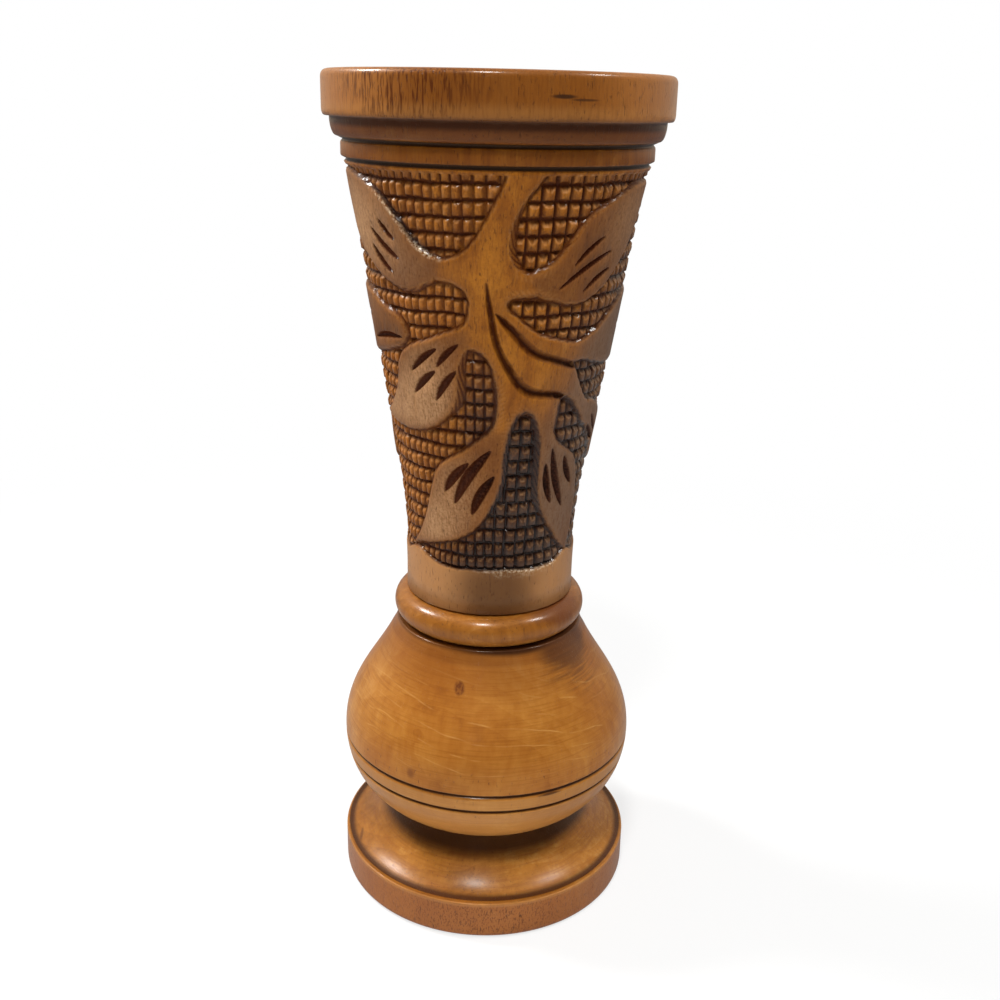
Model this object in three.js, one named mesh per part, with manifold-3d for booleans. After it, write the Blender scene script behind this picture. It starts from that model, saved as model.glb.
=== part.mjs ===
import * as THREE from 'three';
import { mergeVertices } from 'three/addons/utils/BufferGeometryUtils.js';
import loadManifold from 'manifold-3d';

// Carved wooden vase, turned on a lathe in separate pieces that are stacked and glued together.
// Millimetres, +Z up, origin at the centre of the base. Each profile is drawn as points of
// (radius, height above the piece's own seat), up the outside and back down the inside.

const facetsRound = 48;
const roundSteps = 3;
const glueGap = 0.3; // round a dowel or tenon in its socket, and past its end

// Foot: a thick disc with a narrow band inside its edge and a hollow slope up to the waist
const footStandOut = 0.6; // how far its side stands out past the bulb's widest place
const footHeight = 27;
const footSide = 12.8; // height of the straight side
const footBaseRound = 2.2;
const footEdgeRound = 0.7;
const footBand = 1.8; // width of the band, which drops a little towards the slope
const footBandDrop = 0.5;
const slopeFootRun = 4.9; // the slope leaves the band nearly level, steered to this far in
const slopeFootRise = 0.9; // and this far up
const slopeTopRun = 3.4; // and it reaches the waist steeply, steered from this far out
const slopeTopRise = 7.3; // and this far down
const waistRadius = 31; // where the foot meets the bulb
const recessRadius = 33; // dished underside, which leaves a flat ring to stand on
const recessDepth = 1.5;
const footFloor = 7.5; // wood under the dowel

// Dowel that joins the foot to the bulb
const dowelRadius = 10;
const dowelInBulb = 16;
const dowelChamfer = 1;

// Bulb: a flattened globe with two cut lines just below its widest place
const bulbRadius = 46.8;
const bulbHeight = 63.5;
const bulbWidest = 24.5; // height of the widest place
const bulbTopRadius = 29.3;
const bulbTopRound = 0.8;
const underRun = 4; // the underside leaves the waist nearly level, steered to this far out
const underRise = 1.1; // and this far up
const sidePullDown = 16.3; // how far the side keeps upright below the widest place
const sidePullUp = 15.7; // and above it
const topPull = 15.8; // how far down from the top the shoulder's end is steered
const topFlare = 6; // and how far out
const bulbLines = [18, 23.6]; // heights of the cut lines
const bulbLineWidth = 1.5;
const bulbLineDepth = 1;
const wellFloor = 8.7; // wood between the dowel and the bottom of the well

// Bead: a half-round ring between the bulb and the carved neck
const beadRadius = 30.2;
const beadHeight = 10;

// Carved neck: a plain stem that flares in a straight cone to a stepped rim
const neckHeight = 153.5;
const stemRadius = 26.2;
const stemChamfer = 0.6;
const bendHeight = 23.1; // where the lines of the stem and the cone would cross
const bendLength = 17; // how far the bend between them reaches each way
const coneTopRadius = 43.3;
const bandRadius = 44.2; // plain band between two grooves
const bandHeight = 3.6;
const grooveWidth = 1.6;
const grooveDepth = 1.2;
const coveFootRadius = 45.3; // hollow under the rim
const coveTopRadius = 47.1;
const coveHeight = 5.2;
const rimRadius = 49.2;
const rimHeight = 12;
const rimStep = 1.1; // width of the rim's flat underside
const rimRound = 2.2;
const mouthRadius = 41.5;
const mouthRound = 2.4;
const boreRadius = 14;
const boreHeight = 17.5; // height of the straight bore above the neck's seat
const tenonWall = 5.7;
const tenonLength = 22.5; // through the bead and down into the bulb

// Carving: the ground is cut back evenly round the leaves and stems, which keep the turned surface
const carvingFoot = 14.3; // height above the neck's seat
const carvingMargin = 0.5; // turned wood left between the carving and the groove above it
const groundDepth = 1.2;
const treesRound = 2; // one tree of leaves in front and one behind
const wedgeSteps = 20;

// One tree's outlines, as (degrees round from the front, percent of the carving's height)
const treeOutlines = [
  [ // trunk and branches, which run on under the groove
    [5, 102], [0, 93.5], [-6, 86.5], [-13, 82.5], [-22, 80.5], [-26, 77], [-15, 75.5], [-10.5, 71.5],
    [-11, 67], [-15.5, 64], [-12, 60.5], [-4, 58.5], [1, 53], [2.5, 46.5], [1, 40.5], [-3, 37],
    [5, 34.5], [8, 39], [12.5, 43.5], [18, 44.5], [24.5, 40], [28, 37], [32, 39.5], [34.5, 47.5],
    [38, 48], [46, 45], [55, 39.5], [62, 42], [57, 44.5], [48, 48.5], [38.5, 56.5], [50, 56.5],
    [55, 59.5], [50, 62.5], [38, 61], [20, 63.5], [8, 68], [4.5, 71.5], [11, 73], [20, 73.5],
    [19, 78], [9, 79], [4.5, 84], [5.5, 89.5], [11, 96], [17, 102],
  ],
  [ // upper left leaf
    [-18, 79.5], [-33, 84], [-45, 92.5], [-58, 97], [-81, 99], [-77, 86.5], [-66, 80], [-53, 75.5],
    [-40, 73.5], [-21, 77],
  ],
  [ // upper right leaf
    [14, 77], [25, 81], [32, 87], [38, 91], [53, 95], [76, 97.5], [71, 88], [61, 80], [50, 74],
    [38, 71], [24, 72], [14, 73.5],
  ],
  [ // middle left leaf
    [-8, 63.5], [-15, 64.5], [-29, 61.5], [-42, 58.5], [-50, 54.5], [-54, 48.5], [-63, 43], [-76, 39],
    [-60, 37.5], [-44, 37.5], [-31, 40], [-22, 43.5], [-18, 48], [-17, 54.5], [-12, 60.5],
  ],
  [ // lower left leaf
    [2, 39.5], [-10, 35], [-24, 31], [-33, 26.5], [-40, 18.5], [-48, 10.5], [-58, 4.5], [-43, 6.5],
    [-27, 8], [-12, 11.5], [-1, 18], [5, 26.5], [7, 36],
  ],
  [ // lower right leaf
    [26, 38], [27.5, 31], [28.5, 24], [32.5, 17], [44, 10], [60, 3], [65, 13], [62, 21], [54, 29],
    [45, 32.5], [36, 36], [32, 41],
  ],
  [ // side leaf, which reaches round to the back
    [46, 61.5], [58, 65.5], [70, 69], [92, 71.5], [112, 70], [130, 66.5], [137, 63], [136, 60],
    [123, 57.5], [105, 55.5], [85, 54.5], [66, 54], [50, 56.5],
  ],
  [ // lower side leaf
    [55, 44.5], [70, 42.5], [80, 40.5], [88, 35], [93, 25.5], [84, 27], [75, 31], [65, 35.5], [54, 41],
  ],
];

const footRadius = bulbRadius + footStandOut;
const dowelSocketRadius = dowelRadius + glueGap;
const dowelInFoot = footHeight - recessDepth - footFloor;
const tenonRadius = boreRadius + tenonWall;
const tenonSocketRadius = tenonRadius + glueGap;
const tenonInBulb = tenonLength - beadHeight + glueGap;

const bulbSeat = footHeight;
const beadSeat = bulbSeat + bulbHeight;
const neckSeat = beadSeat + beadHeight;

const manifold = await loadManifold();
manifold.setup();

function at(radius, height) {
  return new THREE.Vector2(radius, height);
}

// Rounds a corner off, starting the given distance from it along both of its sides.
function rounded(before, corner, after, reach) {
  const start = corner.clone().add(before.clone().sub(corner).setLength(reach));
  const end = corner.clone().add(after.clone().sub(corner).setLength(reach));
  return new THREE.QuadraticBezierCurve(start, corner, end).getPoints(roundSteps);
}

// A quarter of an ellipse that is hollow towards the outside, between a low end and a high end.
function hollow(low, high, steps) {
  const points = [];
  for (let i = 0; i <= steps; i += 1) {
    const angle = (i / steps) * (Math.PI / 2);
    points.push(at(low.x + (high.x - low.x) * Math.sin(angle), high.y - (high.y - low.y) * Math.cos(angle)));
  }
  return points;
}

// A point on an outline that rises all the way, moved towards the axis by a depth.
function onOutline(outline, height, depth = 0) {
  const above = outline.findIndex((point) => point.y >= height);
  const low = outline[above - 1];
  const high = outline[above];
  return at(THREE.MathUtils.mapLinear(height, low.y, high.y, low.x, high.x) - depth, height);
}

// Cuts V-shaped lines into an outline that rises all the way.
function withLines(outline, heights, width, depth) {
  const clearOfLines = (point) => heights.every((height) => Math.abs(point.y - height) > width * 0.7);
  const cuts = heights.flatMap((height) => [
    onOutline(outline, height - width / 2),
    onOutline(outline, height, depth),
    onOutline(outline, height + width / 2),
  ]);
  return [...outline.filter(clearOfLines), ...cuts].sort((a, b) => a.y - b.y);
}

function lathed(profile) {
  return new THREE.LatheGeometry(profile, facetsRound).rotateX(Math.PI / 2); // from round Y to round Z
}

function finished(name, geometry, seat, color, roughness) {
  const mesh = new THREE.Mesh(geometry, new THREE.MeshStandardMaterial({ color, roughness, metalness: 0 }));
  mesh.name = name;
  mesh.position.z = seat;
  return mesh;
}

function toSolid(geometry) {
  geometry.deleteAttribute('normal');
  geometry.deleteAttribute('uv');
  const merged = mergeVertices(geometry);
  return new manifold.Manifold(new manifold.Mesh({
    numProp: 3,
    vertProperties: new Float32Array(merged.attributes.position.array),
    triVerts: new Uint32Array(merged.index.array),
  }));
}

function toGeometry(solid) {
  const { vertProperties, triVerts } = solid.getMesh();
  const geometry = new THREE.BufferGeometry();
  geometry.setAttribute('position', new THREE.BufferAttribute(vertProperties, 3));
  geometry.setIndex(new THREE.BufferAttribute(triVerts, 1));
  geometry.computeVertexNormals();
  return geometry;
}

function footProfile() {
  const recessEdge = at(recessRadius, 0);
  const baseCorner = at(footRadius, 0);
  const edgeCorner = at(footRadius, footSide);
  const bandInside = at(footRadius - footBand, footSide - footBandDrop);
  const slope = new THREE.CubicBezierCurve(
    bandInside,
    at(bandInside.x - slopeFootRun, bandInside.y + slopeFootRise),
    at(waistRadius + slopeTopRun, footHeight - slopeTopRise),
    at(waistRadius, footHeight),
  );
  return [
    at(0, recessDepth),
    at(recessRadius, recessDepth),
    recessEdge,
    ...rounded(recessEdge, baseCorner, edgeCorner, footBaseRound),
    ...rounded(baseCorner, edgeCorner, bandInside, footEdgeRound),
    ...slope.getPoints(12),
    at(dowelSocketRadius, footHeight),
    at(dowelSocketRadius, footHeight - dowelInFoot),
    at(0, footHeight - dowelInFoot),
  ];
}

function dowelProfile() {
  const length = dowelInFoot + dowelInBulb;
  return [
    at(0, 0),
    at(dowelRadius - dowelChamfer, 0),
    at(dowelRadius, dowelChamfer),
    at(dowelRadius, length - dowelChamfer),
    at(dowelRadius - dowelChamfer, length),
    at(0, length),
  ];
}

function bulbProfile() {
  const underside = new THREE.CubicBezierCurve(
    at(waistRadius, 0),
    at(waistRadius + underRun, underRise),
    at(bulbRadius, bulbWidest - sidePullDown),
    at(bulbRadius, bulbWidest),
  );
  const topCorner = at(bulbTopRadius, bulbHeight);
  const shoulder = new THREE.CubicBezierCurve(
    at(bulbRadius, bulbWidest),
    at(bulbRadius, bulbWidest + sidePullUp),
    at(bulbTopRadius + topFlare, bulbHeight - topPull),
    topCorner,
  );
  const side = [...underside.getPoints(12), ...shoulder.getPoints(14).slice(1, -1)];
  const socketFloor = bulbHeight - tenonInBulb;
  const wellBottom = dowelInBulb + glueGap + wellFloor;
  return [
    at(0, dowelInBulb + glueGap),
    at(dowelSocketRadius, dowelInBulb + glueGap),
    at(dowelSocketRadius, 0),
    ...withLines(side, bulbLines, bulbLineWidth, bulbLineDepth),
    ...rounded(side.at(-1), topCorner, at(0, bulbHeight), bulbTopRound),
    at(tenonSocketRadius, bulbHeight),
    at(tenonSocketRadius, socketFloor),
    at(boreRadius, socketFloor),
    at(boreRadius, wellBottom),
    at(0, wellBottom),
  ];
}

function beadProfile() {
  const sectionRadius = beadHeight / 2;
  const centre = beadRadius - sectionRadius;
  const section = new THREE.EllipseCurve(
    centre, sectionRadius, sectionRadius, sectionRadius, -Math.PI / 2, Math.PI / 2,
  );
  return [
    at(tenonSocketRadius, 0),
    ...section.getPoints(10),
    at(tenonSocketRadius, beadHeight),
    at(tenonSocketRadius, 0),
  ];
}

// Stem, bend and cone: the outline that is carved.
function flareOutline() {
  const coneTop = at(coneTopRadius, neckHeight - rimHeight - coveHeight - bandHeight - 2 * grooveWidth);
  const bendCorner = at(stemRadius, bendHeight);
  const bendEnd = bendCorner.clone().add(coneTop.clone().sub(bendCorner).setLength(bendLength));
  const bend = new THREE.QuadraticBezierCurve(at(stemRadius, bendHeight - bendLength), bendCorner, bendEnd);
  return [at(stemRadius, stemChamfer), ...bend.getPoints(6), coneTop];
}

function neckProfile() {
  const rimFoot = neckHeight - rimHeight;
  const coveFoot = rimFoot - coveHeight;
  const bandTop = coveFoot - grooveWidth;
  const bandFoot = bandTop - bandHeight;
  const flare = flareOutline();
  const rimUnder = at(coveTopRadius + rimStep, rimFoot);
  const rimShoulder = at(rimRadius, rimFoot + rimRound);
  const rimCorner = at(rimRadius, neckHeight);
  const mouthCorner = at(mouthRadius, neckHeight);
  const taperFoot = at(boreRadius, boreHeight);
  const tenonEnd = at(tenonRadius, -tenonLength);
  return [
    at(boreRadius, -tenonLength),
    tenonEnd,
    at(tenonRadius, 0),
    at(stemRadius - stemChamfer, 0),
    ...flare,
    at((coneTopRadius + bandRadius) / 2 - grooveDepth, bandFoot - grooveWidth / 2),
    at(bandRadius, bandFoot),
    at(bandRadius, bandTop),
    at((bandRadius + coveFootRadius) / 2 - grooveDepth, bandTop + grooveWidth / 2),
    ...hollow(at(coveFootRadius, coveFoot), at(coveTopRadius, rimFoot), 4),
    rimUnder,
    ...new THREE.QuadraticBezierCurve(rimUnder, at(rimRadius, rimFoot), rimShoulder).getPoints(roundSteps).slice(1),
    ...rounded(rimShoulder, rimCorner, mouthCorner, rimRound),
    ...rounded(rimCorner, mouthCorner, taperFoot, mouthRound),
    taperFoot,
    at(boreRadius, -tenonLength),
  ];
}

// A wedge from inside the neck's wall to well past it, with a leaf's outline as seen from the axis.
// Its sides are twisted, so they are stepped along the way out, which keeps the outline true.
function leafWedge(outline, carvingTop, turn) {
  const points = outline.map(([angle, percent]) => (
    new THREE.Vector2(angle + turn, THREE.MathUtils.lerp(carvingFoot, carvingTop, percent / 100))
  ));
  const innerRadius = stemRadius - 2 * groundDepth;
  const depth = 2 * rimRadius - innerRadius;
  const wedge = new THREE.ExtrudeGeometry(new THREE.Shape(points), { depth, steps: wedgeSteps, bevelEnabled: false });
  const place = wedge.attributes.position;
  for (let i = 0; i < place.count; i += 1) {
    const angle = THREE.MathUtils.degToRad(place.getX(i));
    const radius = innerRadius + place.getZ(i);
    place.setXYZ(i, radius * Math.sin(angle), -radius * Math.cos(angle), place.getY(i));
  }
  return toSolid(wedge);
}

// The turned neck, less a ring of wood that the leaves are left out of.
function neckGeometry() {
  const flare = flareOutline();
  const carvingTop = flare.at(-1).y - carvingMargin;
  const within = flare.filter((point) => point.y > carvingFoot && point.y < carvingTop);
  const ground = [
    onOutline(flare, carvingFoot, groundDepth),
    ...within.map((point) => at(point.x - groundDepth, point.y)),
    onOutline(flare, carvingTop, groundDepth),
  ];
  const ring = lathed([ground[0], at(rimRadius, carvingFoot), at(rimRadius, carvingTop), ...ground.toReversed()]);
  const cutAway = Array.from({ length: treesRound }, (_, tree) => (tree * 360) / treesRound)
    .flatMap((turn) => treeOutlines.map((outline) => leafWedge(outline, carvingTop, turn)))
    .reduce((left, wedge) => left.subtract(wedge), toSolid(ring));
  return toGeometry(toSolid(lathed(neckProfile())).subtract(cutAway));
}

const vase = new THREE.Group();
vase.add(
  finished('foot', lathed(footProfile()), 0, 0xa96a35, 0.35),
  finished('foot_dowel', lathed(dowelProfile()), footHeight - dowelInFoot, 0xc79a66, 0.8),
  finished('bulb_body', lathed(bulbProfile()), bulbSeat, 0xb5752f, 0.35),
  finished('neck_collar', lathed(beadProfile()), beadSeat, 0xb87434, 0.3),
  finished('carved_neck', neckGeometry(), neckSeat, 0x8c5630, 0.4),
);

export default vase;
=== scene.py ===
import math

import bpy
import numpy as np
from mathutils import Matrix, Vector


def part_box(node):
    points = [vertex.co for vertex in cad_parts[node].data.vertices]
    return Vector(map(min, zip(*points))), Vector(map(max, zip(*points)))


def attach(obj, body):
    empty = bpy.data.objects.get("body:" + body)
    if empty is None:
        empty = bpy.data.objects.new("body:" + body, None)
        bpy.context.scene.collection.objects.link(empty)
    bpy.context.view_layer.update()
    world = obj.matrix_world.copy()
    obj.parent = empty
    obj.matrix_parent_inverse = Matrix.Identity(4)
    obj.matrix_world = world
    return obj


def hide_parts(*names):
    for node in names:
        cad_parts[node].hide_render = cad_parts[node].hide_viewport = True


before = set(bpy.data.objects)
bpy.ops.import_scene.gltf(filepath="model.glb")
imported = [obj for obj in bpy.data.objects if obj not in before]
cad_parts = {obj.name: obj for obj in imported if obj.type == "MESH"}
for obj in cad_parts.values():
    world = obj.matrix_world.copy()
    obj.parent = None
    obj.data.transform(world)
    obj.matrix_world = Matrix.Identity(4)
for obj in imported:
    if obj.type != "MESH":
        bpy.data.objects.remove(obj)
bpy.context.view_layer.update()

# The script's own unit is the millimetre, and each mesh is turned to metres when it is made.
# Angles round the vase are in degrees: 0 faces the viewer, +90 is on the viewer's right.
metre = 1000.0


def toLinear(hexColour):
    # an sRGB hex value as linear red, green, blue and alpha
    parts = [int(hexColour[i:i + 2], 16) / 255 for i in (1, 3, 5)]
    return tuple(p / 12.92 if p <= 0.04045 else ((p + 0.055) / 1.055) ** 2.4 for p in parts) + (1.0,)


def nodeHeights(name):
    low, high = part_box(name)
    return low[2] * metre, high[2] * metre


# Profiles: each is a list of (radius, height) points, up the outside and back down the inside

def route(pitch, *corners):
    # straight stretches from corner to corner, with a point about every pitch and without the last corner
    stretches = []
    for start, end in zip(corners, corners[1:]):
        count = max(1, int(round(math.dist(start, end) / pitch)))
        t = np.linspace(0, 1, count, endpoint=False)[:, None]
        stretches.append(np.array(start) * (1 - t) + np.array(end) * t)
    return np.vstack(stretches)


def bezier(a, b, c, d, count):
    # a cubic curve from a to d, steered by b and c
    t = np.linspace(0, 1, count)[:, None]
    a, b, c, d = (np.array(p, float) for p in (a, b, c, d))
    return a * (1 - t) ** 3 + 3 * b * t * (1 - t) ** 2 + 3 * c * t * t * (1 - t) + d * t ** 3


def rounded(before, corner, after, reach, count=7):
    # a corner rounded off from the given distance on both of its sides
    before, corner, after = (np.array(p, float) for p in (before, corner, after))
    start = corner + (before - corner) / np.linalg.norm(before - corner) * reach
    end = corner + (after - corner) / np.linalg.norm(after - corner) * reach
    t = np.linspace(0, 1, count)[:, None]
    return start * (1 - t) ** 2 + corner * 2 * t * (1 - t) + end * t * t


def hollow(low, high, count):
    # a quarter ellipse that is hollow towards the outside, from its outer low end to its inner high end
    a = np.linspace(0, math.pi / 2, count)
    return np.stack([low[0] + (high[0] - low[0]) * np.sin(a), high[1] - (high[1] - low[1]) * np.cos(a)], 1)


def joined(*stretches):
    # one profile from its stretches, with repeated points left out
    points = np.concatenate([np.atleast_2d(np.array(s, float)) for s in stretches])
    keep = np.ones(len(points), bool)
    keep[1:] = np.linalg.norm(np.diff(points, axis=0), axis=1) > 0.02
    return points[keep]


def step(x):
    # a smooth rise from 0 to 1
    x = np.clip(x, 0, 1)
    return x * x * (3 - 2 * x)


# Surfaces

def revolvedPoints(radius, height, angles):
    # each point of the profile goes round the axis: x = r sin(angle), y = -r cos(angle), z = height
    points = [radius * np.sin(angles), -radius * np.cos(angles), height * np.ones(len(angles))]
    return np.stack(points, -1).reshape(-1, 3)


def revolvedFaces(rings, around, closed):
    # quads between neighbouring rings, and between the last and the first where the profile closes on itself
    i = np.arange(rings if closed else rings - 1)[:, None]
    j = np.arange(around)[None, :]
    iNext, jNext = (i + 1) % rings, (j + 1) % around
    quads = [i * around + j, i * around + jNext, iNext * around + jNext, iNext * around + j]
    return np.stack([np.broadcast_to(q, (len(i), around)) for q in quads], -1).reshape(-1, 4)


def wrapped(values):
    # the corners of one face, brought to the same side of the seam where a coordinate runs from 1 back to 0
    return values + (values.max(1, keepdims=True) - values > 0.5)


def addBakeMap(mesh, across, along):
    # a map of the angle against the way along the profile, in two directions that each close on themselves
    room = 0.985  # the last column and row reach a little past 1
    sizes = np.empty(len(mesh.polygons), int)
    mesh.polygons.foreach_get("loop_total", sizes)
    corners = np.empty(len(mesh.loops), int)
    mesh.loops.foreach_get("vertex_index", corners)
    uv = np.empty((len(corners), 2))
    starts = np.concatenate([[0], np.cumsum(sizes)[:-1]])
    for size in (3, 4):
        picked = starts[sizes == size][:, None] + np.arange(size)
        if len(picked):
            uv[picked, 0] = wrapped(across[corners[picked]]) * room
            uv[picked, 1] = wrapped(along[corners[picked]]) * room
    layer = mesh.uv_layers.new(name="OFBake")
    layer.data.foreach_set("uv", uv.ravel())


def profileLength(profile, weight):
    # the way along the profile from 0 to 1, where weight(radius, height) stretches what shows
    closedProfile = np.vstack([profile, profile[:1]])
    middle = (closedProfile[1:] + closedProfile[:-1]) / 2
    steps = np.linalg.norm(np.diff(closedProfile, axis=0), axis=1) * weight(middle[:, 0], middle[:, 1])
    return np.concatenate([[0], np.cumsum(steps)[:-1]]) / steps.sum()


def placedObject(name, mesh):
    piece = bpy.data.objects.new(name, mesh)
    bpy.context.scene.collection.objects.link(piece)
    return piece


def turnedPiece(name, profile, around, weight):
    # A profile that starts and ends on the axis gets one vertex at each pole, and any other closes on itself.
    onAxis = profile[0, 0] == 0
    body = profile[1:-1] if onAxis else profile
    angles = np.arange(around) / around * 2 * math.pi
    vertices = revolvedPoints(body[:, :1], body[:, 1:], angles)
    rings = len(body)
    faces = revolvedFaces(rings, around, not onAxis).tolist()
    along = profileLength(profile, weight)
    acrossAll = np.tile(np.arange(around) / around, rings)
    alongAll = np.repeat(along[1:-1] if onAxis else along, around)
    if onAxis:
        first, last = len(vertices), len(vertices) + 1
        vertices = np.vstack([vertices, [0, 0, profile[0, 1]], [0, 0, profile[-1, 1]]])
        j = np.arange(around)
        top = (rings - 1) * around
        faces += np.stack([np.full(around, first), (j + 1) % around, j], 1).tolist()
        faces += np.stack([top + j, top + (j + 1) % around, np.full(around, last)], 1).tolist()
        acrossAll = np.append(acrossAll, [0.5, 0.5])
        alongAll = np.append(alongAll, [along[0], along[-1]])
    mesh = bpy.data.meshes.new(name)
    mesh.from_pydata((vertices / metre).tolist(), [], faces)
    addBakeMap(mesh, acrossAll, alongAll)
    mesh.shade_smooth()
    return placedObject(name, mesh)


# Camera, at the photograph's angle: a hand-held close view from a little above the middle of the vase
view = dict(
    back=334.85,  # from the vase's axis
    height=247.32,
    turn=0.4862,  # degrees to the right
    tilt=19.5405,  # degrees down
    roll=1.3056,
    lens=40.75,
    sensor=36.0,
)


def addCamera():
    turn, tilt, roll = (math.radians(view[k]) for k in ("turn", "tilt", "roll"))
    ahead = np.array([math.sin(turn) * math.cos(tilt), math.cos(turn) * math.cos(tilt), -math.sin(tilt)])
    side = np.array([math.cos(turn), -math.sin(turn), 0])
    over = np.cross(side, ahead)
    right = math.cos(roll) * side + math.sin(roll) * over
    up = math.cos(roll) * over - math.sin(roll) * side
    data = bpy.data.cameras.new("camera")
    data.lens, data.sensor_width, data.sensor_fit = view["lens"], view["sensor"], "HORIZONTAL"
    data.clip_start = 0.01
    camera = placedObject("camera", data)
    place = Matrix(np.stack([right, up, -ahead], 1).tolist()).to_4x4()
    place.translation = (0, -view["back"] / metre, view["height"] / metre)
    camera.matrix_world = place
    bpy.context.scene.camera = camera


addCamera()
print("camera placed")


def addNode(tree, kind, inputs=None, **settings):
    # adds a node and sets its inputs, or links them where a socket is given, or a node for its first output
    node = tree.nodes.new("ShaderNode" + kind)
    for key, value in settings.items():
        setattr(node, key, value)
    for socket, given in (inputs or {}).items():
        given = given.outputs[0] if isinstance(given, bpy.types.Node) else given
        if isinstance(given, bpy.types.NodeSocket):
            tree.links.new(given, node.inputs[socket])
        else:
            node.inputs[socket].default_value = given
    return node


# Light: three soft lamps overhead, a weak one by the camera, and a pale room that is dim in front
light = dict(
    lamps=[
        # name, direction from the vase, distance, size in metres, strength in watts
        ("lampLeft", (-0.66, 0.20, 0.67), 0.9, 0.20, 7.0),
        ("lampFront", (-0.09, -0.47, 0.88), 1.0, 0.14, 5.9),
        ("lampRight", (0.61, -0.07, 0.79), 0.9, 0.17, 3.2),
        ("lampLow", (-0.15, -0.92, 0.37), 1.1, 0.18, 1.5),
    ],
    unmirrored=("lampLow",),  # lamps that leave no highlight
    aim=0.12,  # height in metres that the lamps point at
    room=0.18,  # strength of the even light from all round
    behind=0.75, inFront=0.05,  # how bright reflections find the room
    frontTo=-0.35, behindFrom=0.45,  # where it grows brighter, from -1 in front to 1 behind
    roomMirrored="#ffe9d2", floorMirrored=0.25,  # how warm they find it, and how bright the floor
    floorHalf=3.0, floorDrop=0.0002,  # half its width, and how far it lies under the vase, in metres
    floorWhite=0.72, floorNear=0.05, floorFar=0.5,  # share of plain white near the vase, and where it grows
)
white = (1, 1, 1, 1)


def addLights():
    for name, direction, distance, size, power in light["lamps"]:
        data = bpy.data.lights.new(name, "AREA")
        data.shape, data.size, data.energy = "DISK", size, power
        lamp = placedObject(name, data)
        away = np.array(direction) / np.linalg.norm(direction)
        other = np.cross((0, 1, 0), away)
        other /= np.linalg.norm(other)
        turned = Matrix(np.stack([other, np.cross(away, other), away], 1).tolist()).to_4x4()
        turned.translation = tuple(away * distance + (0, 0, light["aim"]))
        lamp.matrix_world = turned
        lamp.visible_glossy = name not in light["unmirrored"]


def addRoom():
    # white to the camera, pale to reflections from behind and dim from in front
    world = bpy.data.worlds.new("room")
    bpy.context.scene.world = world
    world.use_nodes = True
    tree = world.node_tree
    tree.nodes.clear()
    path = addNode(tree, "LightPath")
    where = addNode(tree, "TexCoord")
    parts = addNode(tree, "SeparateXYZ", {0: where.outputs["Generated"]})
    shade = addNode(tree, "MapRange", {
        "Value": parts.outputs["Y"], "From Min": light["frontTo"], "From Max": light["behindFrom"],
        "To Min": light["inFront"], "To Max": light["behind"]}, interpolation_type="SMOOTHSTEP")
    plain = addNode(tree, "Background", {"Color": white, "Strength": light["room"]})
    seen = addNode(tree, "Background", {"Color": white, "Strength": 1.0})
    glossy = addNode(tree, "Background", {"Color": toLinear(light["roomMirrored"]), "Strength": shade})
    first = addNode(tree, "MixShader", {0: path.outputs["Is Glossy Ray"], 1: plain, 2: glossy})
    second = addNode(tree, "MixShader", {0: path.outputs["Is Camera Ray"], 1: first, 2: seen})
    addNode(tree, "OutputWorld", {0: second})


def addFloor():
    half, drop = light["floorHalf"], -light["floorDrop"]
    mesh = bpy.data.meshes.new("floor")
    corners = [(-half, -half, drop), (half, -half, drop), (half, half, drop), (-half, half, drop)]
    mesh.from_pydata(corners, [], [(0, 1, 2, 3)])
    floor = placedObject("floor", mesh)
    # matt paper: plain white with the vase's soft shadow, and no horizon
    paper = bpy.data.materials.new("whitePaper")
    paper.use_nodes = True
    tree = paper.node_tree
    tree.nodes.clear()
    where = addNode(tree, "TexCoord")
    away = addNode(tree, "VectorMath", {0: where.outputs["Object"]}, operation="LENGTH")
    share = addNode(tree, "MapRange", {
        "Value": away.outputs["Value"], "From Min": light["floorNear"], "From Max": light["floorFar"],
        "To Min": light["floorWhite"], "To Max": 1.0}, interpolation_type="SMOOTHSTEP")
    path = addNode(tree, "LightPath")
    seen = addNode(tree, "Math", {0: path.outputs["Is Camera Ray"], 1: path.outputs["Is Glossy Ray"]},
                   operation="ADD")
    seen = addNode(tree, "Math", {0: seen, 1: path.outputs["Is Transmission Ray"]},
                   operation="ADD", use_clamp=True)
    share = addNode(tree, "Math", {0: seen, 1: share}, operation="MULTIPLY")
    matt = addNode(tree, "BsdfDiffuse", {"Color": toLinear("#f4f4f2")})
    bright = addNode(tree, "MapRange", {0: path.outputs["Is Glossy Ray"], 3: 1.0, 4: light["floorMirrored"]})
    glow = addNode(tree, "Emission", {"Color": white, "Strength": bright})
    mixed = addNode(tree, "MixShader", {0: share, 1: matt, 2: glow})
    addNode(tree, "OutputMaterial", {0: mixed})
    mesh.materials.append(paper)


addLights()
addRoom()
addFloor()
bpy.context.scene.view_settings.view_transform = "Standard"
print("light and floor set")


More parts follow.
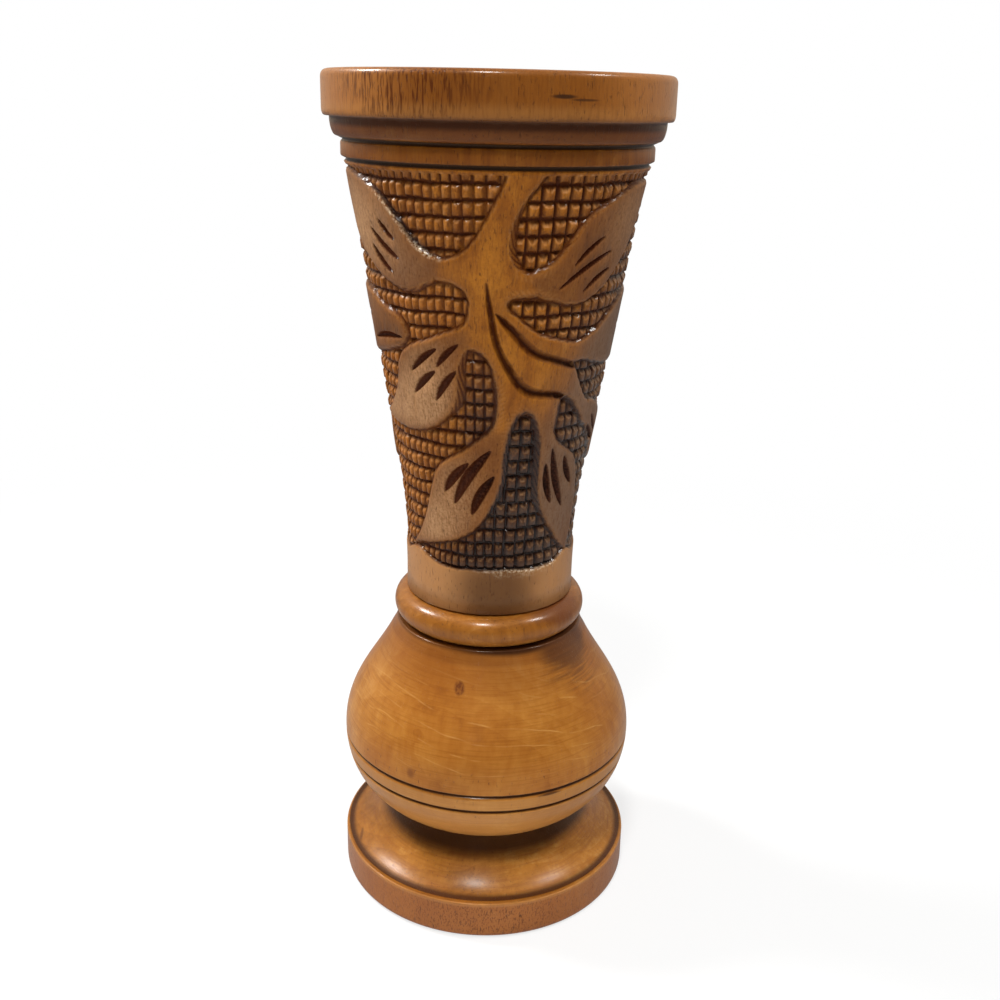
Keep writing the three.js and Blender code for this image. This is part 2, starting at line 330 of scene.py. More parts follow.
# Wood. Every piece is the same pale hardwood under a tinted varnish, so one function makes its figure:
# growth rings round a pith that leans and wavers, streaks and open pores along the grain, and slow patches.
# The eye gets warm brown with darker flowing lines, fine dark dashes and a soft gloss.
wood = dict(
    ring=2.4, ringBend=5.0, ringBendOver=30.0,  # spacing in mm, and how far and over what length they waver
    ringRagged=1.2, raggedOver=1.5,  # how ragged each ring is, and how finely
    lean=(0.10, -0.07), pith=(5.0, 9.0),  # radians and mm
    streak=2.6, streakStretch=14.0,  # width in mm, and how many times longer it is
    patch=26.0,  # size of the slow patches
    pore=0.42, poreStretch=5.0,  # drawn about twice as wide as real pores, so that they show
    poreFrom=0.64, poreTo=0.73,
    ringShare=0.16, streakShare=0.9, patchShare=0.8,  # how much each adds to the figure
    roughness=0.42, gloss=0.3, coat=0.3, coatRoughness=0.17,
    glossTint="#ffd3a4",  # the tinted varnish warms what it mirrors
    bump=0.10, poreDepth=0.8,  # mm, and how deep the pores are against the streaks
    toneFrom=0.12, toneTo=0.88,  # where the darkest and the palest tones lie on the colour ramp
)


def stretched(width, times):
    # a size along x, y and z that is longer up the grain
    return width, width, width * times


def sizedNoise(tree, place, size, detail, roughness=0.6):
    # noise with the given sizes in mm along x, y and z
    scaled = addNode(tree, "Mapping", {0: place, "Scale": [1 / s for s in size]})
    return addNode(tree, "TexNoise", {
        "Vector": scaled, "Scale": 1.0, "Detail": detail, "Roughness": roughness})


def varnishedWood(name, tones, grain=1.0, **changes):
    # tones: four colours from the darkest lines to the palest wood
    look = dict(wood, **changes)
    material = bpy.data.materials.new(name)
    material.use_nodes = True
    tree = material.node_tree
    shader = tree.nodes["Principled BSDF"]
    shader.inputs["Roughness"].default_value = look["roughness"]
    shader.inputs["Specular IOR Level"].default_value = look["gloss"]
    shader.inputs["Specular Tint"].default_value = toLinear(look["glossTint"])
    shader.inputs["Coat Weight"].default_value = look["coat"]
    shader.inputs["Coat Roughness"].default_value = look["coatRoughness"]
    where = addNode(tree, "TexCoord")
    place = addNode(tree, "Mapping", {0: where.outputs["Object"], "Scale": (metre,) * 3})
    waver = sizedNoise(tree, place, (look["ringBendOver"],) * 3, 2.0, 0.45)
    bend = addNode(tree, "VectorMath", {
        0: waver.outputs["Color"], 1: (look["ringBend"] * 2,) * 3, 2: (-look["ringBend"],) * 3},
        operation="MULTIPLY_ADD")
    bent = addNode(tree, "VectorMath", {0: place, 1: bend}, operation="ADD")
    turnedPlace = addNode(tree, "Mapping", {
        0: bent, "Location": (-look["pith"][0], -look["pith"][1], 0), "Rotation": (*look["lean"], 0)})
    rings = addNode(tree, "TexWave", {
        "Vector": turnedPlace, "Scale": math.pi / 10 / look["ring"],  # pi / 10 makes a ring in each mm
        "Distortion": look["ringRagged"], "Detail": 2.0, "Detail Scale": look["raggedOver"]},
        wave_type="RINGS", rings_direction="Z", wave_profile="SAW")
    streaks = sizedNoise(tree, bent, stretched(look["streak"], look["streakStretch"]), 3.0)
    patches = sizedNoise(tree, place, (look["patch"],) * 3, 1.0, 0.4)
    pores = sizedNoise(tree, place, stretched(look["pore"], look["poreStretch"]), 1.0, 0.5)
    pores = addNode(tree, "MapRange", {0: pores.outputs["Fac"], 1: look["poreFrom"], 2: look["poreTo"]})
    total = 0.5 - grain * (look["ringShare"] + look["streakShare"]) / 2 - look["patchShare"] / 2
    for layer, share in ((rings, look["ringShare"] * grain), (streaks, look["streakShare"] * grain),
                         (patches, look["patchShare"])):
        total = addNode(tree, "Math", {0: layer.outputs["Fac"], 1: share, 2: total}, operation="MULTIPLY_ADD")
    ramp = addNode(tree, "ValToRGB", {0: total})
    for k, tone in enumerate(tones):
        stop = ramp.color_ramp.elements[k] if k < 2 else ramp.color_ramp.elements.new(1.0)
        stop.position = look["toneFrom"] + (look["toneTo"] - look["toneFrom"]) * k / (len(tones) - 1)
        stop.color = toLinear(tone)
    height = addNode(tree, "Math", {0: pores, 1: -look["poreDepth"], 2: streaks.outputs["Fac"]},
                     operation="MULTIPLY_ADD")
    bumps = addNode(tree, "Bump", {"Height": height, "Strength": 1.0, "Distance": look["bump"] / metre})
    tree.links.new(bumps.outputs[0], shader.inputs["Normal"])
    return dict(material=material, tree=tree, shader=shader, place=place, bent=bent, pores=pores,
                streaks=streaks.outputs["Fac"], colour=ramp.outputs[0])


# Masks: each gives 1 where a stain lies, painted light and shade among them, and 0 elsewhere

def product(finish, *masks):
    # where all of the masks hold
    result = masks[0]
    for mask in masks[1:]:
        result = addNode(finish["tree"], "Math", {0: result, 1: mask}, operation="MULTIPLY")
    return result


def markAt(finish, centre, size, soft=0.6, ragged=False):
    # 1 inside an ellipsoid round a place in mm, fading to 0 past its edge, which may waver with the rings
    tree = finish["tree"]
    source = finish["bent"] if ragged else finish["place"]
    near = addNode(tree, "Mapping", {0: source, "Location": centre, "Scale": size}, vector_type="TEXTURE")
    away = addNode(tree, "VectorMath", {0: near}, operation="LENGTH")
    return addNode(tree, "MapRange", {0: away.outputs["Value"], 1: 1 - soft, 2: 1 + soft, 3: 1.0, 4: 0.0},
                   interpolation_type="SMOOTHSTEP")


def within(finish, value, low, high, softLow, softHigh):
    # 1 where a value lies between two limits, with soft ends
    tree = finish["tree"]
    rise = addNode(tree, "MapRange", {0: value, 1: low - softLow, 2: low + softLow},
                   interpolation_type="SMOOTHSTEP")
    fall = addNode(tree, "MapRange", {0: value, 1: high - softHigh, 2: high + softHigh, 3: 1.0, 4: 0.0},
                   interpolation_type="SMOOTHSTEP")
    return product(finish, rise, fall)


def between(finish, low, high, soft=0.3, axis="Z"):
    # 1 between two heights in mm, or two places along another axis
    parts = addNode(finish["tree"], "SeparateXYZ", {0: finish["place"]})
    return within(finish, parts.outputs[axis], low, high, soft, soft)


def ringed(finish, low, high, softLow, softHigh, shift=0):
    # 1 between two distances in mm from an upright axis, which may stand a little behind the vase's own
    tree = finish["tree"]
    flat = addNode(tree, "Mapping", {0: finish["place"], "Location": (0, -shift, 0), "Scale": (1, 1, 0)})
    away = addNode(tree, "VectorMath", {0: flat}, operation="LENGTH")
    return within(finish, away.outputs["Value"], low, high, softLow, softHigh)


def grainNoise(finish, size, start, end, detail=2.0, source="place"):
    # noise with the given sizes in mm, as a mask that rises between two levels
    noise = sizedNoise(finish["tree"], finish[source], size, detail)
    return addNode(finish["tree"], "MapRange", {0: noise.outputs["Fac"], 1: start, 2: end})


def stained(finish, masks, stains):
    # Lays stains over the wood in their order, painted light and shade among them, and returns the finished
    # material. Each stain is the names of the masks that must all hold, a colour, and how strongly it covers.
    tree = finish["tree"]
    masks = dict(masks, pores=finish["pores"], streaks=finish["streaks"])
    for names, colour, strength in stains:
        mask = product(finish, *(masks[name] for name in names.split()))
        cover = addNode(tree, "Math", {0: mask, 1: strength}, operation="MULTIPLY")
        mixed = addNode(tree, "Mix", {0: cover, 6: finish["colour"], 7: toLinear(colour)}, data_type="RGBA")
        finish["colour"] = mixed.outputs[2]
    tree.links.new(finish["colour"], finish["shader"].inputs["Base Color"])
    return finish["material"]


# Foot
foot = dict(
    base=2.2,  # round at the floor
    side=12.8,  # height of the upright side
    edge=0.7,  # round at its top
    band=1.8, bandDrop=0.5,  # width and fall of the narrow band inside the edge
    slopeFoot=(4.9, 0.9),  # how far in and up the slope is steered where it leaves the band
    slopeTop=(3.4, 7.3),  # and out and down where it reaches the waist
    waist=31.0,  # radius under the bulb
    recess=33.0, recessDepth=1.5,
    socket=10.3, socketDepth=18.0,
    tones=("#6b3a10", "#8d561a", "#a76c28", "#be8b48"),
    stains=(
        ("levelGrain", "#84491a", 0.5), ("side", "#98592c", 0.75), ("pores", "#4a2511", 0.4),
        ("side stipple", "#5c2c13", 0.4), ("side stipple front", "#4a2010", 0.4),
        # the pale edge line is a painted highlight, and the dark waist is painted shade under the bulb
        ("pores front", "#3a1a0c", 0.4), ("crown", "#3a1a0b", 0.92), ("edgeHighlight", "#b47c48", 0.4),
        ("waist", "#2c1206", 0.9), ("scratch", "#4a2410", 0.6)),
)


def footWood(radius, high):
    # Varnished hardwood: a golden slope, a redder side full of open pores, dark stain inside the edge, a painted
    # highlight along the top of the side and painted shade under the bulb
    finish = varnishedWood("varnishedFootWood", foot["tones"], ring=3.2, pith=(-6, 14), grain=0.6,
                           roughness=0.4, coatRoughness=0.27)
    upper = between(finish, foot["side"] - 1.2, foot["side"] + 4)
    return stained(finish, dict(
        levelGrain=grainNoise(finish, (14, 14, 0.5), 0.46, 0.7),
        side=between(finish, -1, foot["side"] - 0.6, 0.5),
        stipple=grainNoise(finish, (0.45, 0.45, 1.0), 0.5, 0.68),
        front=markAt(finish, (0, -radius, 6), (26, 14, 9), 0.5, True),
        crown=product(finish, upper, ringed(finish, radius - 2.6, radius - 0.7, 0.9, 0.25, 1.3)),
        # painted highlight: a pale line where the rounded top of the side catches the lamps
        edgeHighlight=product(finish, upper, ringed(finish, radius - 0.55, radius + 1, 0.2, 0.5)),
        # painted shade: the top of the slope darkened under the overhanging bulb
        waist=between(finish, high - 6.3, high + 1, 2.4),
        scratch=markAt(finish, (-41.2, -13.4, 13.1), (0.5, 3.0, 1.5), 0.5)), foot["stains"])


def addFoot():
    low, high = nodeHeights("foot")
    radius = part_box("foot")[1][0] * metre
    recess, roof = foot["recess"], foot["recessDepth"]
    socket, floor = foot["socket"], high - foot["socketDepth"]
    baseCorner, edgeCorner = (radius, low), (radius, foot["side"])
    bandInside = (radius - foot["band"], foot["side"] - foot["bandDrop"])
    slope = bezier(bandInside, (bandInside[0] - foot["slopeFoot"][0], bandInside[1] + foot["slopeFoot"][1]),
                   (foot["waist"] + foot["slopeTop"][0], high - foot["slopeTop"][1]),
                   (foot["waist"], high), 60)
    profile = joined(
        (0, roof), route(3, (2, roof), (recess, roof)),
        route(0.8, (recess, roof), (recess, low)),
        route(3, (recess, low), (radius - foot["base"], low)),
        rounded((recess, low), baseCorner, edgeCorner, foot["base"]),
        route(0.8, (radius, foot["base"] + 0.5), (radius, foot["side"] - foot["edge"])),
        rounded(baseCorner, edgeCorner, bandInside, foot["edge"]),
        slope,
        route(3, (foot["waist"] - 1, high), (socket, high), (socket, floor), (0.5, floor)), (0, floor))
    piece = turnedPiece("footTurned", profile, 192, lambda r, z: np.where((r > 23) & (z > 0.1), 1.0, 0.3))
    piece.data.materials.append(footWood(radius, high))
    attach(piece, "root")
    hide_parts("foot")


addFoot()
print("foot turned")


# Bulb
bulb = dict(
    waist=31.0, widest=24.5, radius=46.8, top=29.3, topRound=0.35,
    underRun=4.0, underRise=1.1, sidePullDown=16.3, sidePullUp=15.7, topPull=15.8, topFlare=6.0,
    lines=(18.0, 23.6), lineWidth=1.5, lineDepth=1.0,
    stepBelow=4.6, stepDepth=0.16, stepWidth=2.2,  # the soft step under the bead, which catches the light
    dowelSocket=10.3, dowelDepth=16.3, tenonSocket=20.0, tenonDepth=12.8, well=14.0, wellFloor=25.0,
    points=260,  # up the outside
    linePlane=(0.18, 0.2, 1.0), linePitch=5.0,  # the pale growth lines: which way they face, and spacing
    knot=(-8.3, -33.4, 80.1),
    tones=("#7f4716", "#9c5f20", "#ac702c", "#bc8644"),
    stains=(
        ("lathe", "#844a14", 0.5), ("growth", "#cf9c56", 0.42), ("pores torn", "#5d3010", 0.8),
        # the shoulder, the step's top, the crevice and the shade are painted shade under the bead, and the seam
        # is a dark joint line with painted shadow in it
        ("betweenLines", "#b98548", 0.4), ("underside", "#c48d52", 0.35), ("shoulder", "#7d4315", 0.5),
        ("shadeAboveStep", "#6b3813", 0.4), ("seam", "#3a1a0a", 0.6), ("creviceShade", "#2a1208", 0.85),
        ("shade", "#4c2a16", 0.8), ("shadeGrain", "#4c2a16", 0.55), ("knot", "#7c461c", 0.7),
        ("knotHeart", "#552812", 0.75), ("smallKnot", "#6b3816", 0.7), ("crackLeft", "#2e140a", 0.8),
        ("crackRight", "#2e140a", 0.8), ("lowLine", "#2a120a", 0.9), ("highLine", "#2a120a", 0.9)),
)


def bulbWood(low, high):
    # Varnished hardwood, the palest and most golden piece: fine level lathe marks, pale growth lines that
    # flow down to the right, two small knots, and painted shade under the bead, darkest on the right
    finish = varnishedWood("varnishedBulbWood", bulb["tones"], grain=0.6, ring=3.4, poreFrom=0.67,
                           poreTo=0.76, streak=3.0, streakStretch=2.5)
    tree = finish["tree"]
    # the pale lines are planes that lean, bent by the same noise as the rings, where they leave the wood
    plane = addNode(tree, "VectorMath", {0: finish["bent"], 1: bulb["linePlane"]}, operation="DOT_PRODUCT")
    plane = addNode(tree, "Math", {0: plane.outputs["Value"], 1: bulb["linePitch"] / 2}, operation="PINGPONG")
    flow = addNode(tree, "MapRange", {0: plane, 1: 0.08, 2: 0.32, 3: 1.0, 4: 0.0},
                   interpolation_type="SMOOTHSTEP")
    lowLine, highLine = (between(finish, low + line - 0.5, low + line + 0.5, 0.2) for line in bulb["lines"])
    return stained(finish, dict(
        lathe=grainNoise(finish, (13, 13, 0.45), 0.47, 0.68, 3.0),
        growth=product(finish, flow, between(finish, low + 30, low + 56, 4),
                       grainNoise(finish, (11, 11, 4), 0.46, 0.7)),
        torn=between(finish, low + 15, low + 31, 2.5),
        betweenLines=between(finish, low + bulb["lines"][0] + 0.9, low + bulb["lines"][1] - 0.9, 0.4),
        underside=between(finish, low - 1, low + bulb["lines"][0] - 0.6, 0.5),
        # painted shade under the bead: the top of the bulb darker down past the step, a dark joint line with
        # painted shadow, and a darker crescent on the right
        shoulder=between(finish, high - 12, high + 1, 5),
        shadeAboveStep=between(finish, high - bulb["stepBelow"], high + 1, 0.8),
        seam=between(finish, high - 0.8, high + 1, 0.6),
        creviceShade=markAt(finish, (11, -28, 91.2), (19, 9, 2.3), 0.35),
        shade=markAt(finish, (26.0, -18.5, 88.0), (13, 11, 6.0), 0.3),
        shadeGrain=product(finish, markAt(finish, (27.0, -18.5, 84.5), (13, 12, 8.5), 0.35, True),
                           grainNoise(finish, (14, 14, 0.9), 0.42, 0.62)),
        knot=markAt(finish, bulb["knot"], (1.6, 3, 1.8), 0.45),
        knotHeart=product(finish, markAt(finish, bulb["knot"], (1.4, 3, 1.9), 0.3),
                          grainNoise(finish, (0.7, 0.7, 1.2), 0.36, 0.56)),
        smallKnot=markAt(finish, (-22.6, -40.8, 55.0), (1.1, 3, 1.4), 0.7),
        crackLeft=markAt(finish, (19.5, -42.2, 49.7), (3.4, 4, 0.35), 0.5),
        crackRight=markAt(finish, (25.0, -39.4, 50.6), (3.0, 4, 0.3), 0.5),
        lowLine=lowLine, highLine=highLine), bulb["stains"])


def addBulb():
    low, high = nodeHeights("bulb_body")
    side, top = low + bulb["widest"], bulb["top"]
    topCorner = (top, high)
    under = bezier((bulb["waist"], low), (bulb["waist"] + bulb["underRun"], low + bulb["underRise"]),
                   (bulb["radius"], side - bulb["sidePullDown"]), (bulb["radius"], side), 60)
    shoulder = bezier((bulb["radius"], side), (bulb["radius"], side + bulb["sidePullUp"]),
                      (top + bulb["topFlare"], high - bulb["topPull"]), topCorner, 70)
    outside = joined(under, shoulder[:-2])
    spread, way = np.linspace(0, 1, bulb["points"]), np.linspace(0, 1, len(outside))
    radius, height = (np.interp(spread, way, outside[:, k]) for k in (0, 1))
    cut = np.zeros_like(radius)
    for line in bulb["lines"]:
        cut = np.maximum(cut, 1 - np.abs(height - low - line) / (bulb["lineWidth"] / 2))
    radius -= np.clip(cut, 0, 1) * bulb["lineDepth"]
    radius -= bulb["stepDepth"] * step((height - high + bulb["stepBelow"]) / bulb["stepWidth"] + 0.5)
    dowelSocket, dowelTop = bulb["dowelSocket"], low + bulb["dowelDepth"]
    tenonSocket, shelf = bulb["tenonSocket"], high - bulb["tenonDepth"]
    well, wellFloor = bulb["well"], low + bulb["wellFloor"]
    profile = joined(
        (0, dowelTop),
        route(3, (0.5, dowelTop), (dowelSocket, dowelTop), (dowelSocket, low), (bulb["waist"], low)),
        np.stack([radius, height], 1),
        rounded(shoulder[-4], topCorner, (0, high), bulb["topRound"]),
        route(2, (top - bulb["topRound"] - 0.5, high), (tenonSocket, high)),
        route(3, (tenonSocket, high), (tenonSocket, shelf), (well, shelf), (well, wellFloor),
              (0.5, wellFloor)),
        (0, wellFloor))
    piece = turnedPiece("bulbTurned", profile, 224, lambda r, z: np.where(r > 23, 1.0, 0.25))
    piece.data.materials.append(bulbWood(low, high))
    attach(piece, "root")
    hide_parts("bulb_body")


addBulb()
print("bulb turned")


# Bead
bead = dict(
    hole=20.0,
    tones=("#663710", "#834d18", "#935a1e", "#a67036"),
    stains=(("pores", "#4d2610", 0.5), ("patch", "#5a2c18", 0.75), ("lowerEdge", "#c08c52", 0.5)),
)


def beadWood(low):
    # Varnished hardwood: golden, with a dark reddish patch on the viewer's right and a pale lower edge
    finish = varnishedWood("varnishedBeadWood", bead["tones"], pith=(-9, 4), coat=0.45, coatRoughness=0.2)
    return stained(finish, dict(
        patch=markAt(finish, (24.5, -17.5, 99.5), (11, 11, 4.2), 0.45, True),
        lowerEdge=between(finish, low, low + 1.0, 0.4)), bead["stains"])


def addBead():
    low, high = nodeHeights("neck_collar")
    section = (high - low) / 2
    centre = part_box("neck_collar")[1][0] * metre - section
    a = np.linspace(-math.pi / 2, math.pi / 2, 49)
    ring = np.stack([centre + section * np.cos(a), low + section + section * np.sin(a)], 1)
    hole = bead["hole"]
    profile = joined(
        route(2, (hole, low), (centre, low)),
        ring,
        route(2, (centre - 0.5, high), (hole, high)),
        route(2, (hole, high), (hole, low + 1)))
    piece = turnedPiece("beadTurned", profile, 192, lambda r, z: np.where(r > centre, 1.0, 0.3))
    piece.data.materials.append(beadWood(low))
    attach(piece, "root")
    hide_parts("neck_collar")


addBead()
print("bead turned")


# Carved neck: the turned blank first, then the carving as a depth below it
neck = dict(
    stem=26.2, stemChamfer=0.6, bend=23.1, bendLength=17.0, coneTop=43.3,
    band=44.2, bandHeight=3.6, bandRound=0.35, groove=1.6, grooveDepth=1.2,
    coveFoot=45.3, coveTop=47.1, coveHeight=5.2,
    rimHeight=12.0, rimStep=1.1, rimRound=2.2,
    mouth=41.5, mouthRound=2.4, bore=14.0, boreHeight=17.5, tenon=19.7,
    around=720,  # vertices round the vase before the flat places are thinned out
    rowPitch=0.33,  # and up the carving
    most=186000,  # triangles that are left after thinning
    shy=0.01,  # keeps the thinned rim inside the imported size
    tones=("#54280b", "#7a4410", "#915616", "#aa7230"),
)

# Outlines of the leaves and stems, as (angle, height) points off the photograph. A repeated point is sharp.
leaves = dict(
    upperLeft=[(-22, 206.8), (-27, 208), (-30, 209.3), (-33, 210.8), (-36, 213), (-40, 216.5), (-45, 220.5),
               (-50, 223.3), (-55, 224.8), (-60, 226), (-66, 227), (-73, 227.8), (-81, 228), (-81, 228),
               (-80, 221), (-76, 214), (-71, 209), (-66, 206.4), (-60, 204), (-55, 201.8), (-50, 200.5),
               (-42, 199), (-35, 199.3), (-30, 200.8), (-25, 202.3)],
    upperRight=[(14, 203), (20, 205.3), (24.5, 207.5), (28.5, 210.8), (32, 214.2), (36, 217.7), (41, 220),
                (47, 222), (53, 223.6), (60, 225.3), (67, 226.3), (76, 226.5), (76, 226.5), (74, 221),
                (71, 215.5), (66, 210.5), (61, 206.5), (55, 202.5), (50, 199.7), (45, 197.8), (39, 196.3),
                (33, 196), (26, 197), (18, 198.6)],
    middleLeft=[(-8, 187.5), (-15, 188.4), (-22, 187), (-29, 185.2), (-36, 183.6), (-42, 182), (-47, 179.8),
                (-50.5, 176.8), (-52.5, 173), (-55, 169.5), (-59, 166.5), (-64, 163.5), (-70, 161), (-76, 159.7),
                (-76, 159.7), (-68, 158.4), (-60, 157.7), (-52, 157.6), (-44, 158), (-38, 158.7), (-33, 159.8),
                (-28, 161.5), (-23, 164), (-20, 166.5), (-18, 169.5), (-17.5, 173), (-17, 177), (-15, 181),
                (-12, 184)],
    lowerLeft=[(2, 160), (-4, 157.8), (-10, 155), (-17, 152.2), (-24, 150), (-29, 148), (-33, 145.2),
               (-36, 141.5), (-39, 137.5), (-42.5, 132.8), (-47, 128), (-52, 123.8), (-58.5, 120), (-58.5, 120),
               (-51, 121.2), (-43, 122), (-35, 123), (-27, 124.2), (-19, 125.8), (-12, 128), (-6, 131.2),
               (-1, 135.2), (3, 140), (5, 145), (5.5, 150), (6.5, 155), (7.5, 159)],
    lowerRight=[(25, 160.5), (26.5, 156), (27.3, 151), (28, 146), (28.4, 142), (29.5, 138.5), (32.5, 134.5),
                (37.5, 130), (44, 126), (50.5, 122), (60.5, 118), (60.5, 118), (63, 122), (64.6, 127),
                (64.8, 132), (63.3, 136.5), (61, 140.8), (58, 144.5), (54.5, 147.7), (50, 150.3), (45, 152),
                (40, 153.7), (36, 155.7), (33, 158.5), (32, 162), (28, 163)],
    side=[(42, 182), (46, 185.3), (52, 187), (58, 189.8), (64, 192.3), (70, 194), (80, 196), (92, 196.5),
          (104, 195.5), (112, 195), (120, 193), (125, 191.7), (130, 190.8), (134, 189.5), (137, 187.3),
          (136.5, 185), (133, 182.8), (128, 181.5), (121, 180.3), (112, 179), (102, 177.8), (90, 176.6),
          (75, 176), (66, 176.8), (60, 177.6), (50, 179.2)],
    lowerSide=[(55, 161), (57, 165.6), (63, 165), (70, 163.5), (77, 161.6), (83, 158.6), (88, 154), (91.5, 149),
               (93, 143.6), (93, 143.6), (88, 143.8), (80, 147), (75, 150), (70, 152.5), (65, 155.5),
               (60, 158.5)],
)
stems = dict(
    trunk=[(6.5, 233), (3.2, 226.5), (0, 222), (-3, 218), (-6.5, 213.8), (-10.5, 210.3), (-15, 208.2),
           (-20, 207.2), (-25, 206.8), (-26, 204.5), (-24, 202.3), (-19, 202), (-14.5, 200.8), (-11.5, 198.9),
           (-10, 196.5), (-10.5, 193), (-12, 190.2), (-15, 188.6), (-16, 186), (-12, 184), (-8, 183.6),
           (-4, 182), (-1.6, 180), (0, 178), (1.5, 174), (2.5, 170), (2.5, 165), (1, 161), (-2, 158.5),
           (-3, 155), (4, 152), (6.3, 155), (7.8, 158.8), (9.8, 162.2), (12.5, 164.8), (16, 165.8),
           (19.8, 165.2), (22.5, 163.2), (24.5, 160.5), (26, 158), (30, 156), (32.5, 158.5), (33.3, 162),
           (33.6, 166), (34.3, 169), (34.3, 169), (38, 169.6), (42, 168.2), (46, 166), (50, 163.5),
           (55, 160.2), (60, 158.5), (63, 161), (62, 165), (57, 165.6), (52, 167.6), (48, 170.5), (44, 174),
           (40.5, 177.6), (38.5, 179.3), (38.5, 179.3), (44, 179.6), (50, 179.3), (56, 180), (55, 186),
           (50, 186.3), (45, 185.1), (38, 184.4), (30, 185.3), (20, 187.2), (13, 190.2), (8, 192.8),
           (5, 194.5), (4.5, 196.4), (6.5, 198), (11, 198.4), (17, 198.6), (20, 201.5), (18, 203.2),
           (13, 203.7), (9, 205), (6, 207.5), (4.5, 210), (4.5, 213), (5.5, 217), (7.5, 220.5), (11, 224.5),
           (15.5, 228.5), (18, 233)],
)
# Lens-shaped cuts in the leaves: where each starts and ends, and its greatest width
slits = [
    ((-51, 216.5), (-42, 211.3), 1.9), ((-57, 214), (-40.5, 206.3), 2.3), ((-57.5, 209.5), (-45.5, 202.5), 2.4),
    ((46, 213.5), (32, 206), 1.5), ((52, 209.5), (26, 199.8), 1.6), ((52, 204.7), (38, 198.8), 1.5),
    ((-26, 183), (-41.5, 175.4), 2.2), ((-15.5, 184.8), (-27, 177.6), 2.1), ((-27.5, 176.5), (-41, 169.1), 2.5),
    ((-17, 177.2), (-28.5, 167.8), 2.5),
    ((-12.5, 149.8), (-28, 139.8), 3.0), ((-0.5, 154), (-22, 136.3), 3.5), ((1.5, 146), (-11.5, 133.3), 3.2),
    ((31, 149), (38, 135.8), 2.4), ((34, 153.5), (48.5, 133.6), 2.7), ((43.5, 150.3), (53.5, 140.6), 2.4),
    ((135, 184.5), (108, 182), 1.9), ((82, 191.5), (106, 188), 2.2), ((78, 186.5), (100, 184.2), 2.1),
    ((64, 161), (79, 154), 2.2), ((62, 157.8), (75, 151.8), 2.0),
]
# Long gouge lines that part the side stems from the trunk: (angle, height, width)
gouges = [
    [(-3.4, 201.8, 0.7), (-2.6, 197, 1.7), (-1.2, 192, 2.0), (0, 187.5, 2.2), (2.5, 183, 2.3), (6.5, 178.5, 2.7),
     (11.5, 174, 3.1), (17, 171.5, 3.4), (24, 170.5, 3.0), (31, 169.9, 2.7), (38.5, 168.4, 1.8)],
    [(0.5, 193.6, 0.7), (4, 191.3, 2.3), (9, 188, 3.0), (14, 184.6, 3.2), (20, 182, 3.1), (27, 180.5, 2.9),
     (33, 179.3, 2.7), (38, 178.3, 2.6), (41.5, 177.8, 1.7)],
]
carving = dict(
    low=111.5, high=229.5,  # heights that the carving reaches
    edgeLow=114.9, edgeWander=(0.4, 0.12),  # the hand-cut lower edge, and its slow and quick wander
    edgeRises=((-57, 3.0, 12), (60, 2.8, 10), (90, 1.2, 14)),  # beside the leaf tips: angle, rise and reach
    topRow=227.0, rowPitch=4.29,  # rings of cuts
    rowSwell=0.9, swellAt=168, swellReach=14,  # they ride up a little half way
    rowWander=0.07, columnWander=0.13, columnShift=0.16,  # shares of a cell that the cuts stray
    columnsAbove=((0, 60), (137, 64), (157, 68), (184, 76), (205, 82)),  # height, and cuts round above it
    fan=4.0, fanFrom=-35,  # degrees that the cuts crowd together on the left and spread on the right
    force=0.8, forceSpread=0.4,  # how hard the hand presses at least, and how much more
    rowWidth=1.9, rowDepth=1.3,
    rowSlopes=(1.7, 0.6), rowShadeAndStain=(0.72, 0.55),  # how far a level cut, and its dark of stain and painted shade, reach down and up
    crossing=0.2,  # how much deeper the wood is where two cuts cross
    crown=(0.02, 0.05), tilt=(0.14, 0.18), level=0.35,  # how each cell is rounded, leans and lies deeper
    columnDepth=0.95, columnSteep=0.38, columnGentle=1.7,  # a cut's left-facing and right-facing widths
    barLeft=0.42, barRight=0.72,  # how far a plain upright cut reaches to each side of its deepest line
    barsAt=58, barsReach=62, barsSoft=9,  # the side where the upright cuts are plain
    ground=0.40, groundAtEdge=0.85, besideReach=1.4,  # depth of the ground, and beside a leaf
    wall=1.05, wallFoot=0.8, cellsFrom=0.75,  # its width, and shares of that where it ends and cells start
    hatchDepth=0.35,  # how much deeper the wall's foot is than the ground
    stroke=1.6, strokeDepth=0.13,  # the hatching strokes of the walls, which run nearly along the leaf's edge
    nick=1.25, nickDepth=0.08,  # the short nicks across the edges of the stems
    slitDepth=1.5, slitBend=0.045, gougeDepth=1.4,
    edgeRound=0.3, edgeReach=0.8, toolDepth=0.04,
    outlineWander=0.1,  # the knife's edge isn't quite even
    farFrom=128, farSoft=25, farTurn=1.6, farRise=0.8,  # where the far tree strays, and how far round and up
)
